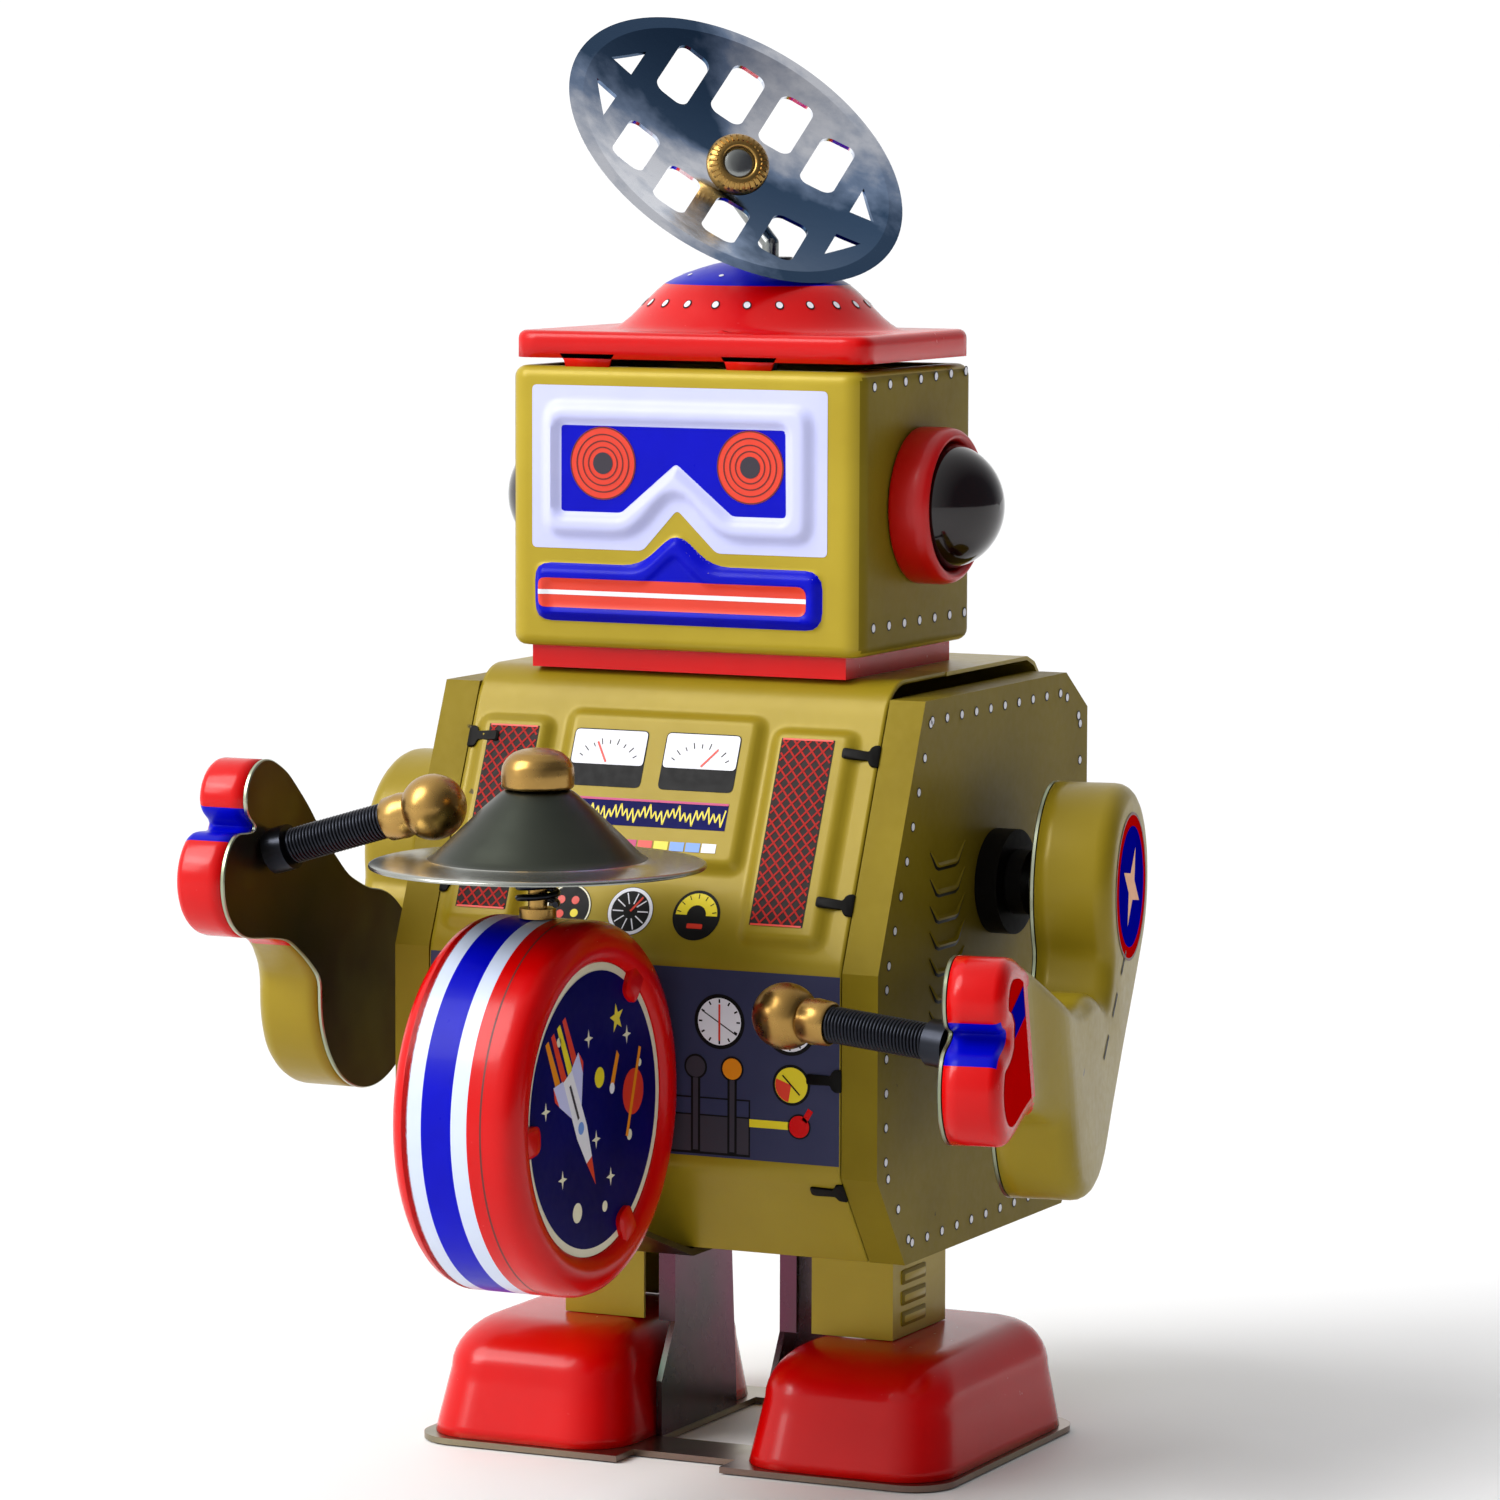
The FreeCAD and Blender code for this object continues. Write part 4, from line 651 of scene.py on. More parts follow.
# The front panel's side profile as (y, z), and how far each inner corner's bend reaches.
PROFILE = [(-0.1, 102.6), (-17.1, 102.6), (-32.2, 67.4), (-32.2, 41.5), (-23.4, 29.5)]
BENDS = [4.6, 1.6, 1.4]
PANEL_X = 29.0
# The printed slope's length, and where it starts along the profile.
SLOPE = hypot(14.2, 33.1)
SLOPE_START = 17.0 + hypot(15.1, 35.2) - SLOPE


def panel_runs():
    """The profile's straight runs: where each starts, its first corner and its direction."""
    runs, travelled = [], 0.0
    for here, there in zip(PROFILE, PROFILE[1:]):
        run = Vector(there) - Vector(here)
        runs.append((travelled, Vector(here), run.normalized()))
        travelled += run.length
    return runs


PANEL_RUNS = panel_runs()


def panel_at(s):
    """Point and outward normal of the front panel's profile at a distance along it."""
    start, corner, way = [run for run in PANEL_RUNS if run[0] <= max(s, 0.0)][-1]
    point = corner + way * (s - start)
    for bend, (_, _, before), (start, corner, after) in zip(BENDS, PANEL_RUNS, PANEL_RUNS[1:]):
        if abs(s - start) < bend:
            t = 0.5 + 0.5 * (s - start) / bend
            point = ((corner - before * bend) * (1 - t) ** 2 + corner * 2 * t * (1 - t)
                     + (corner + after * bend) * t ** 2)
            way = (before * (1 - t) + after * t).normalized()
    return point, Vector((way.y, -way.x))


RAISED = [rounded(box(*corners), 1.6) for corners in (
    (-14.9, 3.4, 12.5, 23.6), (14.4, 4.7, 25.6, 32.9), (-27.6, 4.7, -17.4, 32.9))]


def console_relief(x, w):
    """Height of the three raised fields on the slope: the middle, the left and the right one."""
    return max(0.9 * ease(inside_depth(shape, x, w), -0.7, 1.0) for shape in RAISED)


def console_surface(x, w, lift):
    """A point on the front panel: w runs down from the top edge of the slope."""
    point, out = panel_at(SLOPE_START + w)
    high = lift + (console_relief(x, w) if 0 < w < SLOPE else 0.0)
    return place(x, point.x + out.x * high, point.y + out.y * high)


def build_front():
    total = SLOPE_START + SLOPE + 25.9 + hypot(8.8, 12.0)
    step, columns = 0.4, 130
    stations = [step * k for k in range(ceil(total / step))] + [total]
    bm = bmesh.new()
    loft(bm, [[console_surface(-PANEL_X + 2 * PANEL_X * k / columns, s - SLOPE_START, 0)
               for k in range(columns + 1)] for s in stations], closed=False)
    bmesh.ops.reverse_faces(bm, faces=bm.faces)
    front = add_piece("front_panel", bm, [PANEL_OLIVE], swaps=["body_front_panel"],
                      sharp=60, weld=False)
    thicken(front, 0.5)

    ink = Print("console_print", console_surface)
    for x0, needle in ((-13.4, -0.45), (-0.3, 0.62)):
        big_gauge(ink, x0, needle)
    ink.patch(box(-13.1, 15.1, 10.0, 18.7), NAVY, 0.05)
    ink.patch(box(-13.1, 15.1, 10.0, 15.4), MAGENTA, 0.08)
    wave = [(-12.8 + 0.41 * k,
             17.0 + (-1) ** k * (0.35 + 1.05 * abs(sin(0.61 * k) * sin(1.9 * k))))
            for k in range(56)]
    for a, b in zip(wave, wave[1:]):
        ink.patch(bar(a, b, 0.2), YELLOW, 0.08)
    for k, mat in enumerate((MAGENTA, EYE, YELLOW, SKY, SKY, WHITE)):
        x0 = -4.0 + 2.25 * k
        ink.patch(box(x0, 20.5, x0 + 2.0, 21.7), mat, 0.06)
    for x0, x1 in ((15.9, 22.9), (-25.8, -19.0)):
        ink.patch(box(x0 - 0.2, 6.0, x1 + 0.2, 30.7), MESH_DARK, 0.04)
        pitch = (x1 - x0) / 4
        for k in range(-4, 18):
            for way in (1, -1):
                grille_wire(ink, x0, x1, 6.2, 30.5, k * pitch, way)
        for at in (6.1, 30.6):
            ink.patch(box(x0, at - 0.12, x1, at + 0.12), EYE, 0.11)
    small_gauges(ink, 29.7)
    lower_panel(ink)
    ink.done()
    panel_tabs()


def big_gauge(ink, x0, needle):
    """A white dial over a black foot, its scale along a flattened arc."""
    x1 = x0 + 10.3
    mid = (x0 + x1) / 2
    ink.patch(rounded(box(x0 - 0.15, 5.95, x1 + 0.15, 13.65), 0.8), BLACK, 0.05)
    ink.patch(rounded(box(x0, 6.1, x1, 10.7), 0.6), WHITE, 0.08)
    for k in range(9):
        angle = radians(-56 + 14 * k)
        ends = [(mid + r * sin(angle), 11.9 - r * cos(angle) * 0.92)
                for r in (4.3, 5.2 if k % 2 else 4.9)]
        ink.patch(bar(*ends, 0.13), BLACK, 0.11)
    tip = (mid + 4.0 * sin(needle), 11.3 - 4.0 * cos(needle))
    ink.patch(bar((mid + 0.4 * needle, 10.4), tip, 0.28), EYE, 0.12)


def panel_tabs():
    """The bent tabs that hold the front panel, in their dark slots by the side pans."""
    upper = [(24.4, -0.7), (27.8, -0.6), (28.1, -1.4), (29.2, -1.5)]
    shape = upper + [(x, -w) for x, w in upper[::-1]]
    middle = 27.2
    bm = bmesh.new()
    for side in (-1, 1):
        for w in (7.6, 27.2, 49.6, 64.4):
            slot = rounded([(side * x, w + v) for x, v in shape], 0.4, 4)
            loft(bm, [[console_surface(x + (side * middle - x) * shrink, v + (w - v) * shrink,
                                       lift) for x, v in slot]
                      for shrink, lift in ((0.0, -0.15), (0.0, 0.22), (0.12, 0.34))], cap=True)
    bmesh.ops.recalc_face_normals(bm, faces=bm.faces)
    add_piece("panel_tabs", bm, [BLACK_TAB], weld=False, sharp=30)


def grille_wire(ink, x0, x1, w0, w1, start, way):
    """One slanting wire of the speaker grille, clipped to its frame."""
    a, b = Vector((x0, w0 + start)), Vector((x1, w0 + start + (x1 - x0) * 1.15))
    if way < 0:
        a, b = Vector((x1, a.y)), Vector((x0, b.y))
    run = b - a
    t0 = max(0.0, (w0 - a.y) / run.y)
    t1 = min(1.0, (w1 - a.y) / run.y)
    if t1 - t0 > 0.02:
        ink.patch(bar(tuple(a + run * t0), tuple(a + run * t1), 0.24), WIRE_RED,
                  0.07 if way > 0 else 0.09)


def small_gauges(ink, w):
    """Three small dials in a row: coloured lamps, a rayed one and a yellow arch."""
    x = -10.3
    ink.disc(x, w, 3.2, BLACK)
    ink.hoop(x, w, 3.0, 0.2, CREAM, 0.07)
    for dx, dw, mat in ((-1.2, -1.0, EYE), (-1.1, 0.9, EYE), (0.9, 0.7, YELLOW), (0.8, -1.0, EYE)):
        ink.disc(x + dx, w + dw, 0.55, mat, 0.07, 16)
    x = -1.5
    ink.disc(x, w, 3.2, BLACK)
    ink.hoop(x, w, 2.9, 0.45, WHITE, 0.07)
    ink.ticks(x, w, (1.0, 2.5), range(0, 360, 36), 0.16, WHITE, 0.07)
    ink.patch(bar((x, w), (x + 1.5, w - 1.9), 0.28), EYE, 0.1)
    x = 7.8
    ink.disc(x, w, 3.3, BLACK)
    ink.patch(arc(x, w, 2.9, 180, 360, 20) + arc(x, w, 1.35, 360, 180, 12), YELLOW, 0.07)
    ink.ticks(x, w, (2.2, 2.8), [190 + 26.6 * k for k in range(7)], 0.12, BLACK, 0.1)
    ink.patch(rounded(box(x - 1.1, w + 1.1, x + 1.1, w + 1.75), 0.2), EYE, 0.08)


def lower_panel(ink):
    """The printed switchboard on the upright front. z is turned into a distance down."""
    def down(z):
        return SLOPE + 67.4 - z
    ink.patch(box(-28.9, down(66.9), 28.9, down(43.0)), SLATE, 0.04, 1.5)
    for x, z, radius in ((12.3, 60.3, 3.5), (22.1, 60.2, 3.6)):
        ink.disc(x, down(z), radius, BLACK, 0.07)
        ink.disc(x, down(z), radius * 0.86, WHITE, 0.1)
        ink.ticks(x, down(z), (0.68 * radius, 0.82 * radius), range(0, 360, 30), 0.22, BLACK,
                  0.12)
        ink.patch(bar((x, down(z - 2.4)), (x, down(z + 2.2)), 0.28), EYE, 0.13)
        ink.patch(bar((x - 2.4, down(z + 1.3)), (x + 2.4, down(z - 1.6)), 0.16), BLACK, 0.12)
    x, w = 22.3, down(52.9)
    ink.disc(x, w, 2.6, BLACK, 0.07)
    ink.disc(x, w, 2.25, YELLOW, 0.1)
    ink.patch(arc(x, w, 2.2, 100, 200, 10) + [(x, w)], EYE, 0.12)
    ink.patch(bar((x - 1.2, w - 1.2), (x + 1.2, w + 1.2), 0.2), BLACK, 0.14)
    for x0, top, x1, low, mat, lift in (
            (5.0, 50.6, 16.6, 43.3, BLACK, 0.07), (5.2, 50.4, 16.4, 48.4, SLATE, 0.09),
            (5.2, 48.2, 16.4, 43.6, GREY, 0.09), (16.5, 48.2, 22.4, 47.2, YELLOW, 0.1)):
        ink.patch(box(x0, down(top), x1, down(low)), mat, lift)
    for x, mat in ((9.0, GREY), (14.1, ORANGE)):
        ink.patch(box(x - 0.65, down(53.0), x + 0.65, down(43.5)), BLACK, 0.11)
        ink.patch(box(x - 0.35, down(53.0), x + 0.35, down(43.8)), GREY, 0.13)
        ink.disc(x, down(54.4), 1.6, BLACK, 0.11, 24)
        ink.disc(x, down(54.4), 1.35, mat, 0.14, 24)
    ink.disc(23.4, down(47.7), 1.6, BLACK, 0.1, 24)
    ink.disc(23.4, down(47.7), 1.4, RED, 0.12, 24)
    ink.patch(bar((24.1, down(48.4)), (25.0, down(49.9)), 0.8), RED, 0.12)


build_front()

SIDE_FACE = 34.1
SIDE = [(-18.0, 100.5), (-32.2, 67.4), (-32.2, 41.5), (-23.4, 29.5), (27.9, 29.5),
        (35.6, 37.5), (35.6, 95.4), (28.2, 100.5)]


def side_prints(side, sign):
    """A row of printed rivets along each edge of a side pan."""
    def surface(y, z, lift):
        return place(sign * (SIDE_FACE + lift), y, z)

    ink = Print(f"side_print_{side}", surface)
    inset = 2.6
    for k, (bx, by) in enumerate(SIDE):
        ax, ay = SIDE[k - 1]
        run = hypot(bx - ax, by - ay)
        wx, wy = (bx - ax) / run, (by - ay) / run
        nx, ny = -wy, wx
        if inside_depth(SIDE, (ax + bx) / 2 + nx, (ay + by) / 2 + ny) < 0:
            nx, ny = -nx, -ny
        count = max(1, round((run - 2 * inset) / 4.6))
        for i in range(count + 1):
            t = inset * 0.8 + (run - 1.6 * inset) * i / count
            ink.dot(ax + wx * t + nx * inset, ay + wy * t + ny * inset, 0.5)
    ink.done()


def vents(side, sign):
    """Seven pressed vents, each a raised lip beside a strip of painted shade in black, stepped
    down the side.
    """
    path = [(-16.3, 2.1), (-14.2, 0.2), (-13.6, 0.0), (-8.4, 0.0), (-7.8, 0.2), (-5.4, 2.4)]
    lip = ((-0.62, 0.0), (-0.58, 0.06), (-0.22, 0.1), (0.1, 0.3), (0.42, 0.0))
    last = len(path) - 1
    bm = bmesh.new()
    for k in range(7):
        rows = []
        for across, out in lip:
            row = []
            for i, (y, rise) in enumerate(path):
                way = (Vector(path[min(last, i + 1)]) - Vector(path[max(0, i - 1)])).normalized()
                size = 0.35 if i in (0, last) else 1.0
                row.append(place(sign * (SIDE_FACE + 0.02 + out * size),
                                 y - way.y * across * size,
                                 79.2 - 3.4 * k + rise + way.x * across * size))
            rows.append(row)
        # The first two bands of each lip are black, as painted shade; the rest takes the olive
        # with painted shade.
        made = loft(bm, rows, closed=False, mats=[1, 1, 0, 0])
        for end in (0, last):
            bm.faces.new([row[end] for row in made])
    bmesh.ops.recalc_face_normals(bm, faces=bm.faces)
    add_piece(f"side_vents_{side}", bm, [OLIVE_PAINTED_SHADE, BLACK], weld=False, sharp=60)


for side, sign in SIDES:
    side_prints(side, sign)
    vents(side, sign)

# ---- drum and cymbal

DRUM = (-1.4, -55.6, 52.0)
ALONG_X = Matrix.Rotation(radians(90), 3, "Y")
UPRIGHT = Matrix.Identity(3)


def build_drum():
    radius, face = 23.3, 18.3
    rim = [(face, 7.3), (face, 7.9), (face + 0.5, 8.4), (19.8, 8.8), (21.0, 8.75), (22.2, 8.3),
           (22.9, 7.6), (23.25, 6.7), (radius, 5.8)]
    stripes = [4.3, 4.05, 2.3, 0.15, -3.9, -5.95, -6.6]
    profile = rim + [(radius, h) for h in stripes] + [(r, -h) for r, h in rim[::-1]]
    colour = [0] * (len(rim) - 1) + [0, 3, 0, 1, 2, 1, 0] + [0] * len(rim)
    lathe("drum", profile, DRUM, ALONG_X, [RED, STRIPE, BLUE, MAROON], "robot",
          ["drum_shell"], colour, 128)
    drum_picture()
    drum_tabs()
    for part, side, sign in (("front", "left", 1), ("back", "right", -1)):
        plate = bmesh.new()
        loft(plate, [[place(DRUM[0] + sign * h, DRUM[1] + r * cos(a), DRUM[2] + r * sin(a))
                      for a in whole_turn(96)]
                     for r, h in ((0.05, 7.6), (face, 7.6), (face, 7.2), (0.05, 7.2))])
        add_piece(f"drum_head_{part}", plate, [RED], "robot", [f"drum_head_{side}"])


def drum_picture():
    """The picture on the head at the robot's left: a rocket, planets and stars."""
    def surface(u, v, lift):
        return place(DRUM[0] + 7.7 + lift, DRUM[1] + u, DRUM[2] + v)

    ink = Print("drum_picture", surface)
    ink.disc(0, 0, 18.2, CREAM, 0.0, 96)
    ink.disc(0, 0, 17.2, NAVY, 0.05, 96)
    ink.patch(star(6.2, 10.6, 1.9, turn=100), YELLOW, 0.08)
    for u, v, r, mat in ((1.5, 3.8, 1.3, YELLOW), (-4.5, -12.2, 1.25, CREAM),
                         (3.0, -12.5, 0.7, CREAM), (9.8, -4.5, 0.7, CREAM),
                         (-9.5, 9.6, 0.6, CREAM), (12.6, 4.2, 0.5, CREAM)):
        ink.disc(u, v, r, mat, 0.08, 20)
    for u, v in ((-8.5, -7.5), (4.6, -9.0), (-1.5, 9.0), (9.0, 8.2), (-13.0, 1.5), (0.6, -3.8)):
        ink.patch(star(u, v, 1.2, 4, 0.3), CREAM, 0.08)
    # ringed planet
    ink.disc(10.8, 0.8, 2.9, EYE, 0.09, 32)
    ink.patch(bar((9.0, -4.6), (12.6, 6.2), 0.7), ORANGE, 0.12)
    # small comet
    ink.patch([(4.4, 2.4), (6.2, 6.6), (6.9, 5.9), (5.3, 1.9)], ORANGE, 0.09)
    ink.disc(4.9, 2.0, 0.7, WHITE, 0.11, 16)
    rocket(ink, (-5.2, 1.2), -62)
    ink.done()


def drum_tabs():
    """Three rim tabs folded over each printed head."""
    hinge = 18.0
    shape = rounded([(20.4, -1.9), (15.4, -1.8), (15.4, 1.8), (20.4, 1.9)], 1.5, 6)
    bm = bmesh.new()
    for sign in (1, -1):
        for degrees in (185, 55, -62):
            turn = Matrix.Rotation(radians(degrees), 2)
            rings = []
            for high, shrink in ((7.5, 1.0), (8.3, 1.0), (8.55, 0.8)):
                spots = [turn @ Vector((hinge + (u - hinge) * shrink, v * shrink))
                         for u, v in shape]
                rings.append([place(DRUM[0] + sign * high, DRUM[1] + p.x, DRUM[2] + p.y)
                              for p in spots])
            loft(bm, rings, cap=True)
    bmesh.ops.recalc_face_normals(bm, faces=bm.faces)
    add_piece("drum_tabs", bm, [RED], weld=False, sharp=30)


def rocket(ink, middle, degrees):
    """A generic rocket: body, nose, fins and flames, drawn along its own axis."""
    turn = Matrix.Rotation(radians(degrees), 2)

    def at(points):
        return [tuple(Vector(middle) + turn @ Vector(p)) for p in points]

    for v, mat in ((-2.6, ORANGE), (-0.9, EYE), (0.9, YELLOW), (2.5, EYE)):
        ink.patch(at([(-3.4, v - 0.7), (-3.4, v + 0.7), (-11.2, v + 0.5), (-11.2, v - 0.4)]),
                  mat, 0.08)
    ink.patch(at([(-4.4, -1.4), (4.0, -1.5), (8.2, -0.8), (8.2, 0.8), (4.0, 1.5), (-4.4, 1.4)]),
              WHITE, 0.11)
    ink.patch(at([(8.2, -0.8), (12.0, 0.0), (8.2, 0.8)]), EYE, 0.11)
    for way in (1, -1):
        ink.patch(at([(-4.6, way * 1.3), (1.0, way * 1.4), (-2.4, way * 3.6), (-5.4, way * 3.8)]),
                  LAVENDER, 0.13)
        ink.patch(at([(-5.4, way * 3.8), (-2.4, way * 3.6), (-3.6, way * 4.3)]), EYE, 0.15)
    ink.patch(at(circle(3.4, 0, 0.8, 16)), SKY, 0.14)
    ink.patch(at([(-3.0, -0.25), (2.0, -0.25), (2.0, 0.25), (-3.0, 0.25)]), GREY, 0.14)


build_drum()


def build_cymbal():
    bell = [(1.5, 91.3), (3.9, 91.3), (4.5, 91.0), (6.6, 89.2), (8.9, 87.0), (11.1, 84.9),
            (12.8, 83.2), (13.6, 82.7), (14.8, 82.5), (18.0, 82.4), (20.4, 82.3), (20.9, 82.1)]
    sheet, brim = 0.45, 13.4
    under = [(r, h - sheet) for r, h in bell[::-1]]
    profile = rounded_line(bell + under + bell[:1], 0.5, 3)
    bands = [int(min(a[0], b[0]) > brim) for a, b in zip(profile, profile[1:])]
    lathe("cymbal_disc", profile, (DRUM[0], DRUM[1], 0), UPRIGHT, [CYMBAL, BRIM], "cymbal",
          ["cymbal"], bands, steps=96, sharp=60)
    nut = [(1.3, 91.4), (4.2, 91.4), (4.5, 91.7), (4.52, 93.2), (4.4, 94.2), (3.9, 95.1),
           (3.1, 95.8), (2.0, 96.2), (1.0, 96.38), (0.02, 96.4)]
    lathe("nut", nut, (DRUM[0], DRUM[1], 0), UPRIGHT, [BRASS], "robot", ["cymbal_nut"],
          smooth=0.3)


build_cymbal()

# ---- dish eyelet


def leaning(turn, tilt):
    """A direction that leans by tilt from straight up, towards a bearing, in degrees."""
    return Matrix.Rotation(radians(turn), 3, "Z") @ Matrix.Rotation(radians(tilt), 3, "Y")


DISH_LEAN, EYELET_LEAN = leaning(-27.34, 45.28), leaning(-53.9, 72.6)
PIN_OFF, EYELET_RISE = 1.6, 3.2


def build_eyelet():
    """A knurled brass eyelet with the grey end of the shaft in its middle."""
    facing = EYELET_LEAN
    spot = Vector(DISH_MIDDLE) + DISH_LEAN @ Vector((PIN_OFF, 0, 0))
    spot += facing @ Vector((0, 0, EYELET_RISE))
    flange = [(1.3, 0.02), (2.9, 0.02), (4.1, 0.75), (4.18, 1.2), (4.0, 1.6), (3.6, 2.05),
              (3.15, 2.35), (2.7, 2.48), (2.3, 2.48), (2.1, 2.3), (2.02, 1.95), (1.3, 1.9)]
    lathe("eyelet", flange, spot, facing, [BRASS], "dish", ["dish_eyelet"],
          smooth=0.25)
    end = [(2.0, 1.75), (1.98, 2.0), (1.7, 2.2), (1.1, 2.34), (0.5, 2.4), (0.02, 2.42)]
    lathe("shaft_end", end, spot, facing, [STEEL], "dish", [], steps=48)
    bm = bmesh.new()
    for turn in whole_turn(30):
        across = facing @ Vector((-sin(turn), cos(turn), 0))
        out = facing @ Vector((cos(turn), sin(turn), 0))
        up = facing @ Vector((0, 0, 1))
        middle = spot + out * 3.35 + up * 2.2
        corners = [out * u + across * v - up * u * 0.55 for u, v in box(-0.55, -0.16, 0.55, 0.16)]
        loft(bm, [[place(*(middle + c - up * 0.1)) for c in corners],
                  [place(*(middle + c * 0.7 + up * 0.22)) for c in corners]], cap=True)
    bmesh.ops.recalc_face_normals(bm, faces=bm.faces)
    add_piece("eyelet_knurl", bm, [BRASS], "dish", weld=False, sharp=30)


build_eyelet()

# ---- ears

EAR_MIDDLE = (0, 0, 124.0)
EAR_SUNK = {"left": 0.0, "right": 3.0}
for side, sign in SIDES:
    outward = Matrix.Rotation(radians(90 * sign), 3, "Y")
    sunk = EAR_SUNK[side]
    ring = [(8.3, 25.1), (10.1, 25.1), (10.1, 29.0 - sunk), (9.8, 30.0 - sunk),
            (9.2, 30.5 - sunk), (8.8, 30.4 - sunk), (8.4, 29.9 - sunk), (8.3, 29.2 - sunk),
            (8.3, 25.1)]
    lathe(f"ear_{side}", ring, EAR_MIDDLE, outward, [RED_PLASTIC], "robot",
          [f"ear_ring_{side}"], steps=96, smooth=0.5)
    lens, foot = 8.2, 28.3 - sunk
    ball = [(lens, 25.2), (lens, foot)]
    ball += [(lens * cos(a), foot + 8.05 * sin(a))
             for a in (radians(90) * k / 14 for k in range(1, 14))]
    ball += [(0.02, foot + 8.05)]
    lathe(f"ear_lens_{side}", ball, EAR_MIDDLE, outward, [DARK], "robot",
          [f"ear_dome_{side}"], steps=72)

# ---- arms

ARM_AXLE = {"left": Vector((42.0, 4.5, 75.4)), "right": Vector((-42.0, 4.5, 75.4))}
ARM_TURN = {
    "right": UPRIGHT,
    "left": Matrix.Rotation(radians(10.5), 3, "Z") @ Matrix.Rotation(radians(19.5), 3, "X"),
}
ARM_DEEP, HAND_DEEP = 10.45, 7.7
HAND_EDGE, BAND_LOW, BAND_HIGH = -50.5, 7.6, 11.6


def arm_depth(y):
    """How far the arm's outer face stands out: less over the hand than at the elbow."""
    return HAND_DEEP + (ARM_DEEP - HAND_DEEP) * ease(y, -50.0, -38.0)


def arm_outline():
    """The arm's outline in its own plane, forward being negative, smoothed."""
    line = arc(0, 0, 13.3, -64, 196, 30)
    line += [(-15.0, -6.4), (-17.8, -7.6)]
    line += arc(-29, -15.2, 13.1, 36, 90, 6)
    line += [(-34.5, 0.2), (-40, 4.9), (-45.7, 11.0), (-50.4, 15.2)]
    line += arc(-56, 12.2, 5.2, 66, 196, 9)
    line += [(-60.2, 9.9), (-57.9, 9.0), (-58.6, 8.4), (-61.4, 8.3)]
    line += arc(-59.5, 2.4, 7.5, 120, 262, 11)
    line += [(-55.0, -5.6), (-50.3, -6.4), (-45.8, -9.2)]
    line += arc(-29, -15.2, 13.1, 168, 296, 16)
    line += [(-17.0, -23.4), (-9.0, -19.2), (-1.0, -15.4)]
    dense = []
    for a, b in zip(line, line[1:] + line[:1]):
        a, b = Vector(a), Vector(b)
        count = max(1, round((b - a).length / 0.8))
        dense += [a.lerp(b, i / count) for i in range(count)]
    for _ in range(4):
        dense = [(dense[k - 1] + dense[k] * 2 + dense[(k + 1) % len(dense)]) / 4
                 for k in range(len(dense))]
    return dense


def outline_normals(line):
    ways = [line[(k + 1) % len(line)] - line[k - 1] for k in range(len(line))]
    return [Vector((way.y, -way.x)).normalized() for way in ways]


def build_arm(side, sign):
    """A pressed pan closed by a flat plate, with the hand's inks and a printed medallion."""
    turn, axle, body = ARM_TURN[side], ARM_AXLE[side], f"arm_{side}"

    def at(out, y, z):
        return place(*(axle + turn @ Vector((sign * out, y, z))))

    line = arm_outline()
    normals = outline_normals(line)

    def ring(out, inset):
        return [(out, p.x - n.x * inset, p.y - n.y * inset) for p, n in zip(line, normals)]

    def hand_index(y, z, on_wall):
        """Red for the hand, blue for the band across its notch, olive elsewhere."""
        if y > HAND_EDGE + 0.25 * abs(z):
            return 0
        return 2 if on_wall and BAND_LOW < z < BAND_HIGH else 1

    roll, wall = 2.4, 2.5
    sections = [(0.65, 0.0), (wall, 0.0)]
    sections += [(ARM_DEEP - roll + roll * sin(radians(18 * k)),
                  roll - roll * cos(radians(18 * k))) for k in range(6)]
    bm = bmesh.new()
    rows = loft(bm, [ring(*section) for section in sections])
    bm.faces.new(rows[-1])
    for y in [HAND_EDGE] + [-50.0 + 1.2 * k for k in range(11)]:
        slice_at(bm, (0, y, 0), (0, 1, 0))
    bm.normal_update()
    for face in bm.faces:
        middle = face.calc_center_median()
        face.material_index = hand_index(middle.y, middle.z, abs(face.normal.x) < 0.5)
    for vert in bm.verts:
        out, y, z = vert.co
        share = max(0.0, (out - wall) / (ARM_DEEP - wall))
        vert.co = at(out - (ARM_DEEP - arm_depth(y)) * share, y, z)
    shell = add_piece(f"arm_pan_{side}", bm, [PANEL_OLIVE, RED, BLUE], body, [f"arm_shell_{side}"],
                      sharp=50)
    thicken(shell, 0.45)

    bm = bmesh.new()
    plate = ((0.5, 0.15), (0.5, -0.04), (0.14, -0.04), (0.0, 0.1))
    rows = loft(bm, [[at(*p) for p in ring(*section)] for section in plate])
    bm.faces.new(rows[0][::-1])
    bm.faces.new(rows[-1]).material_index = 1
    add_piece(f"arm_inner_{side}", bm, [EDGE, ZINC], body, [f"arm_plate_{side}"],
              sharp=30)

    def outer_surface(y, z, lift):
        return at(arm_depth(y) + lift, y, z)

    ink = Print(f"arm_print_{side}", outer_surface, body)
    cut = [tuple(p - n * (roll + 0.1)) for p, n in zip(line, normals)]
    ink.patch(clip(cut, HAND_EDGE), HAND_RED, 0.05)
    band = clip_z(clip_z(clip(cut, HAND_EDGE - 0.4), BAND_LOW, 1), BAND_HIGH, -1)
    ink.patch(band, HAND_BLUE, 0.09)
    ink.disc(0, 0, 9.4, HAND_RED, 0.05, 48)
    ink.disc(0, 0, 7.8, HAND_BLUE, 0.08, 48)
    ink.hoop(0, 0, 9.4, 0.35, MAROON, 0.08, 48)
    ink.patch(star(0, 0, 5.4, 4, 0.35, 45), ORANGE, 0.11)
    for k in range(3):
        y, z = -22 + 6.5 * k, -13.5 + 2.7 * k
        ink.patch(bar((y, z), (y + 3.6, z + 1.5), 0.6), BLACK, 0.06)
    ink.done()


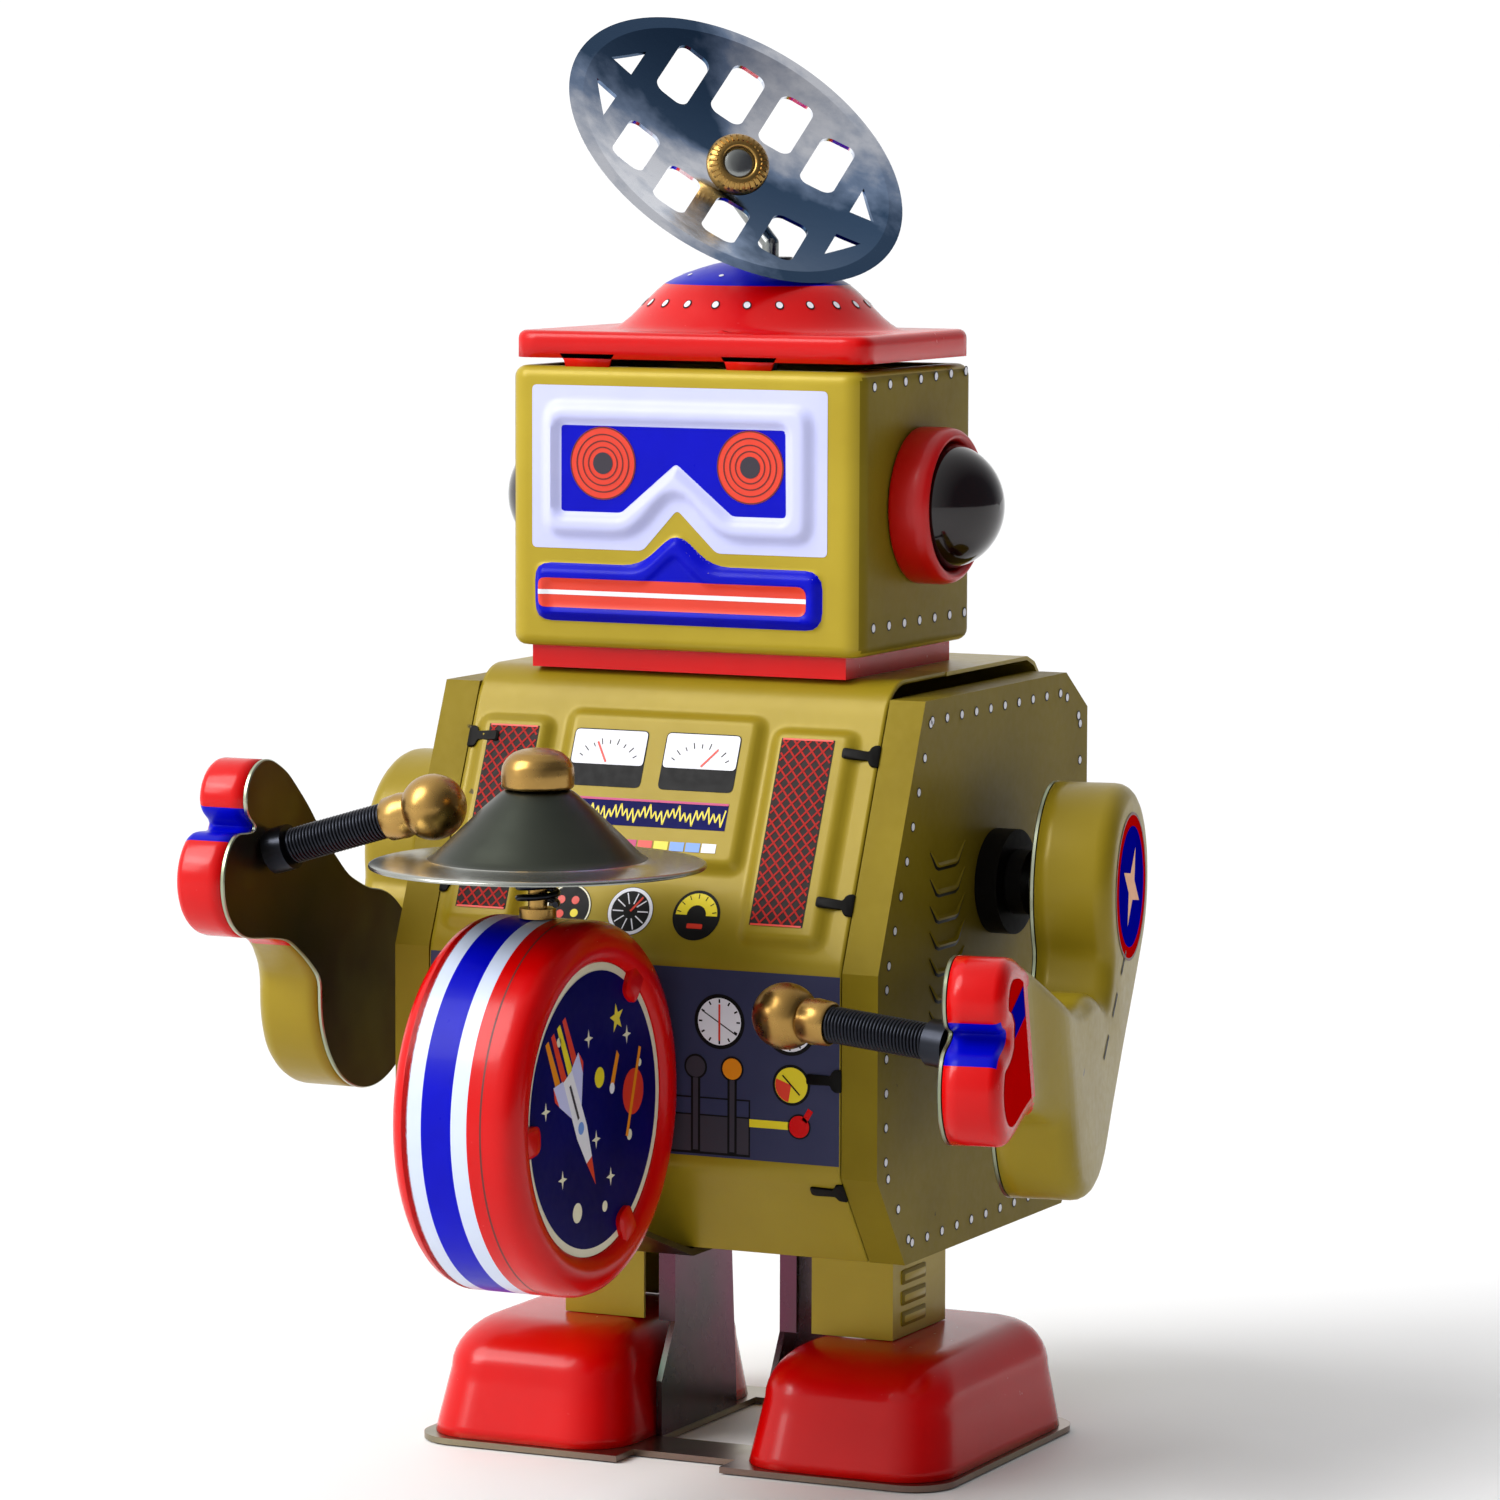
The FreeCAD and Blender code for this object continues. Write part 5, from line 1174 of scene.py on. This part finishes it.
def clip(points, limit):
    """The part of an outline in front of a line."""
    out = []
    for k, b in enumerate(points):
        a = points[k - 1]
        if (a[0] < limit) != (b[0] < limit):
            t = (limit - a[0]) / (b[0] - a[0])
            out.append((limit, a[1] + t * (b[1] - a[1])))
        if b[0] < limit:
            out.append(b)
    return out


def clip_z(points, limit, way):
    """The part of an outline above a height, or below it where way is -1."""
    flipped = [(-way * v, u) for u, v in points]
    return [(v, -way * u) for u, v in clip(flipped, -way * limit)]


for side, sign in SIDES:
    build_arm(side, sign)

# ---- drumsticks

STICK_LEAN = {"left": (4.0, 8.0), "right": (16.5, 0.0)}
STICK_ROOT = Vector((0, -55.5, 5.4))


def build_stick(side, sign):
    """Close-wound spring and brass knob, along the stick's own axis from its root in the arm."""
    up, back = STICK_LEAN[side]
    root = ARM_AXLE[side] + ARM_TURN[side] @ STICK_ROOT
    turn = (Matrix.Rotation(radians(-sign * back), 3, "Z")
            @ Matrix.Rotation(radians(sign * up), 3, "Y")
            @ Matrix.Rotation(radians(-90 * sign), 3, "Y"))
    body = f"arm_{side}"
    wire, reach, pitch, low, long = 0.24, 2.06, 0.5, 3.7, 14.2
    steps = 20
    rings = []
    for k in range(int(long / pitch) * steps + 1):
        angle = 2 * pi * k / steps
        rings.append([place_turned(root, turn, (reach + wire * cos(t)) * cos(angle),
                                   (reach + wire * cos(t)) * sin(angle),
                                   low + pitch * k / steps + wire * sin(t))
                      for t in whole_turn(6)])
    bm = bmesh.new()
    loft(bm, rings, cap=True)
    add_piece(f"stick_spring_{side}", bm, [BLACK_STEEL], body,
              [f"drumstick_spring_{side}"], sharp=80)
    start, ball = 3.6 + long, 4.2
    centre = start + 2.6 + ball
    knob = [(0.02, start), (2.5, start), (2.75, start + 0.3), (2.9, start + 2.4),
            (2.75, start + 3.2), (2.7, start + 3.8)]
    knob += [(4.15 * cos(a), centre + ball * sin(a))
             for a in (radians(-44 + 134 * k / 18) for k in range(18))]
    knob += [(0.02, centre + ball)]
    lathe(f"stick_knob_{side}", knob, root, turn, [BRASS], body, [f"drumstick_tip_{side}"],
          steps=56, sharp=50)


for side, sign in SIDES:
    build_stick(side, sign)

# ---- shoes and legs


def build_shoe(side, sign):
    """A pressed shoe: sloping sides, a long rounded toe and heel, hollow below."""
    x0, x1, y0, y1 = 8.6, 37.2, -20.8, 26.0
    base, top, shoulder = 0.85, 15.4, 0.56
    stations = [(k / 6 * shoulder, k / 6 * 1.5) for k in range(7)]
    stations += [(shoulder + (1 - shoulder) * sin(radians(10 * k)),
                  1.5 + 5.6 * (1 - cos(radians(10 * k)))) for k in range(1, 10)]
    rings = []
    for share, inset in stations:
        outline = rounded_outline((x1 - x0) / 2 - inset * 0.86, y0 + inset * 1.65,
                                  y1 - inset * 0.9, 7.0 - 0.35 * min(inset, 6.0), 120)
        rings.append([place(sign * (x0 + x1) / 2 + x, y, base + (top - base) * share)
                      for x, y, nx, ny in outline])
    bm = bmesh.new()
    rows = loft(bm, rings)
    bm.faces.new(rows[-1])
    shoe = add_piece(f"shoe_shell_{side}", bm, [RED], "robot", [f"shoe_{side}"],
                     sharp=70)
    thicken(shoe, 0.45)


def leg_rungs(side, sign):
    """Five pressed rungs, like a ladder, on the outer side of each leg."""
    bm = bmesh.new()
    for k in range(5):
        z = 16.9 + 2.75 * k
        outer = rounded(box(-1.4, z, 6.4, z + 1.9), 0.4, 4)
        inner = rounded(box(-0.85, z + 0.5, 5.85, z + 1.4), 0.3, 4)
        # The rungs' sloping tops take the olive with painted shade; their walls and flat tops stay
        # plain olive.
        loft(bm, [[place(sign * (23.8 + out), y, zz) for y, zz in line]
                  for line, out in ((outer, -0.1), (outer, 0.12), (inner, 0.32))],
             mats=[0, 1], cap=True)
    bmesh.ops.recalc_face_normals(bm, faces=bm.faces)
    add_piece(f"leg_rungs_{side}", bm, [OLIVE, OLIVE_PAINTED_SHADE], weld=False, sharp=40)


for side, sign in SIDES:
    build_shoe(side, sign)
    leg_rungs(side, sign)

# ---- floor, lights, camera


def towards(way):
    """The rotation that points a lamp along a direction."""
    return Vector(way).to_track_quat("-Z", "Y").to_euler()


def build_world():
    """A white studio that darkens towards the robot's left."""
    world = bpy.data.worlds.new("studio")
    bpy.context.scene.world = world
    world.use_nodes = True
    tree = world.node_tree
    link = tree.links.new
    where = shader_node(tree, "TexCoord")
    along = shader_node(tree, "SeparateXYZ")
    half = shader_node(tree, "Math", {1: 0.5, 2: 0.5}, "MULTIPLY_ADD")
    link(where.outputs["Generated"], along.inputs["Vector"])
    link(along.outputs["X"], half.inputs[0])
    back = tree.nodes["Background"]
    stops = [(0.35, (1, 1, 1, 1)), (0.85, (0.12, 0.12, 0.14, 1))]
    link(colour_ramp(tree, half.outputs["Value"], stops), back.inputs["Color"])
    back.inputs["Strength"].default_value = 1.08


def build_stage():
    bm = bmesh.new()
    bmesh.ops.create_grid(bm, x_segments=8, y_segments=8, size=60.0)
    for v in bm.verts:
        v.co.z = -0.0002
    mesh = bpy.data.meshes.new("floor")
    bm.to_mesh(mesh)
    bm.free()
    mesh.materials.append(finish("floor_paper", (244, 244, 244), (240, 240, 240), rough=0.6,
                                 grain=60, bump=0.0))
    floor = add_to_scene("floor", mesh)

    sun = bpy.data.lights.new("window", "SUN")
    sun.energy = 2.0
    sun.angle = radians(35)
    add_to_scene("window", sun).rotation_euler = towards((0.55, 0.55, -0.75))
    key = bpy.data.lights.new("key", "AREA")
    key.shape = "RECTANGLE"
    key.size, key.size_y = 0.3, 0.45
    key.energy = 3
    lamp = add_to_scene("key", key)
    lamp.location = (-0.75, -0.75, 0.55)
    lamp.rotation_euler = towards(Vector((0, 0, 0.09)) - lamp.location)


# The viewing direction and distance worked out from the box shapes in the photograph.
VIEW_AZIMUTH, VIEW_ELEVATION, VIEW_ROLL = radians(25.325), radians(5.826), radians(0.185)
VIEW_DISTANCE, VIEW_LENS, SENSOR = 0.83447, 153.16464, 36
AIM_RIGHT, AIM_HEIGHT = 1.04, 91.17


def build_camera():
    right = Vector((cos(VIEW_AZIMUTH), sin(VIEW_AZIMUTH), 0))
    back = Vector((sin(VIEW_AZIMUTH) * cos(VIEW_ELEVATION),
                   -cos(VIEW_AZIMUTH) * cos(VIEW_ELEVATION), sin(VIEW_ELEVATION)))
    up = back.cross(right)
    aim = place(right.x * AIM_RIGHT, right.y * AIM_RIGHT, AIM_HEIGHT)
    turned_right = right * cos(VIEW_ROLL) + up * sin(VIEW_ROLL)
    turned_up = up * cos(VIEW_ROLL) - right * sin(VIEW_ROLL)
    data = bpy.data.cameras.new("photo_view")
    data.sensor_width = SENSOR
    data.lens = VIEW_LENS
    data.clip_start, data.clip_end = 0.05, 30
    camera = add_to_scene("photo_view", data)
    columns = Matrix((turned_right, turned_up, back)).transposed()
    camera.matrix_world = Matrix.Translation(aim + back * VIEW_DISTANCE) @ columns.to_4x4()
    bpy.context.scene.camera = camera


build_world()
build_stage()
build_camera()
bpy.context.scene.view_settings.view_transform = "Standard"
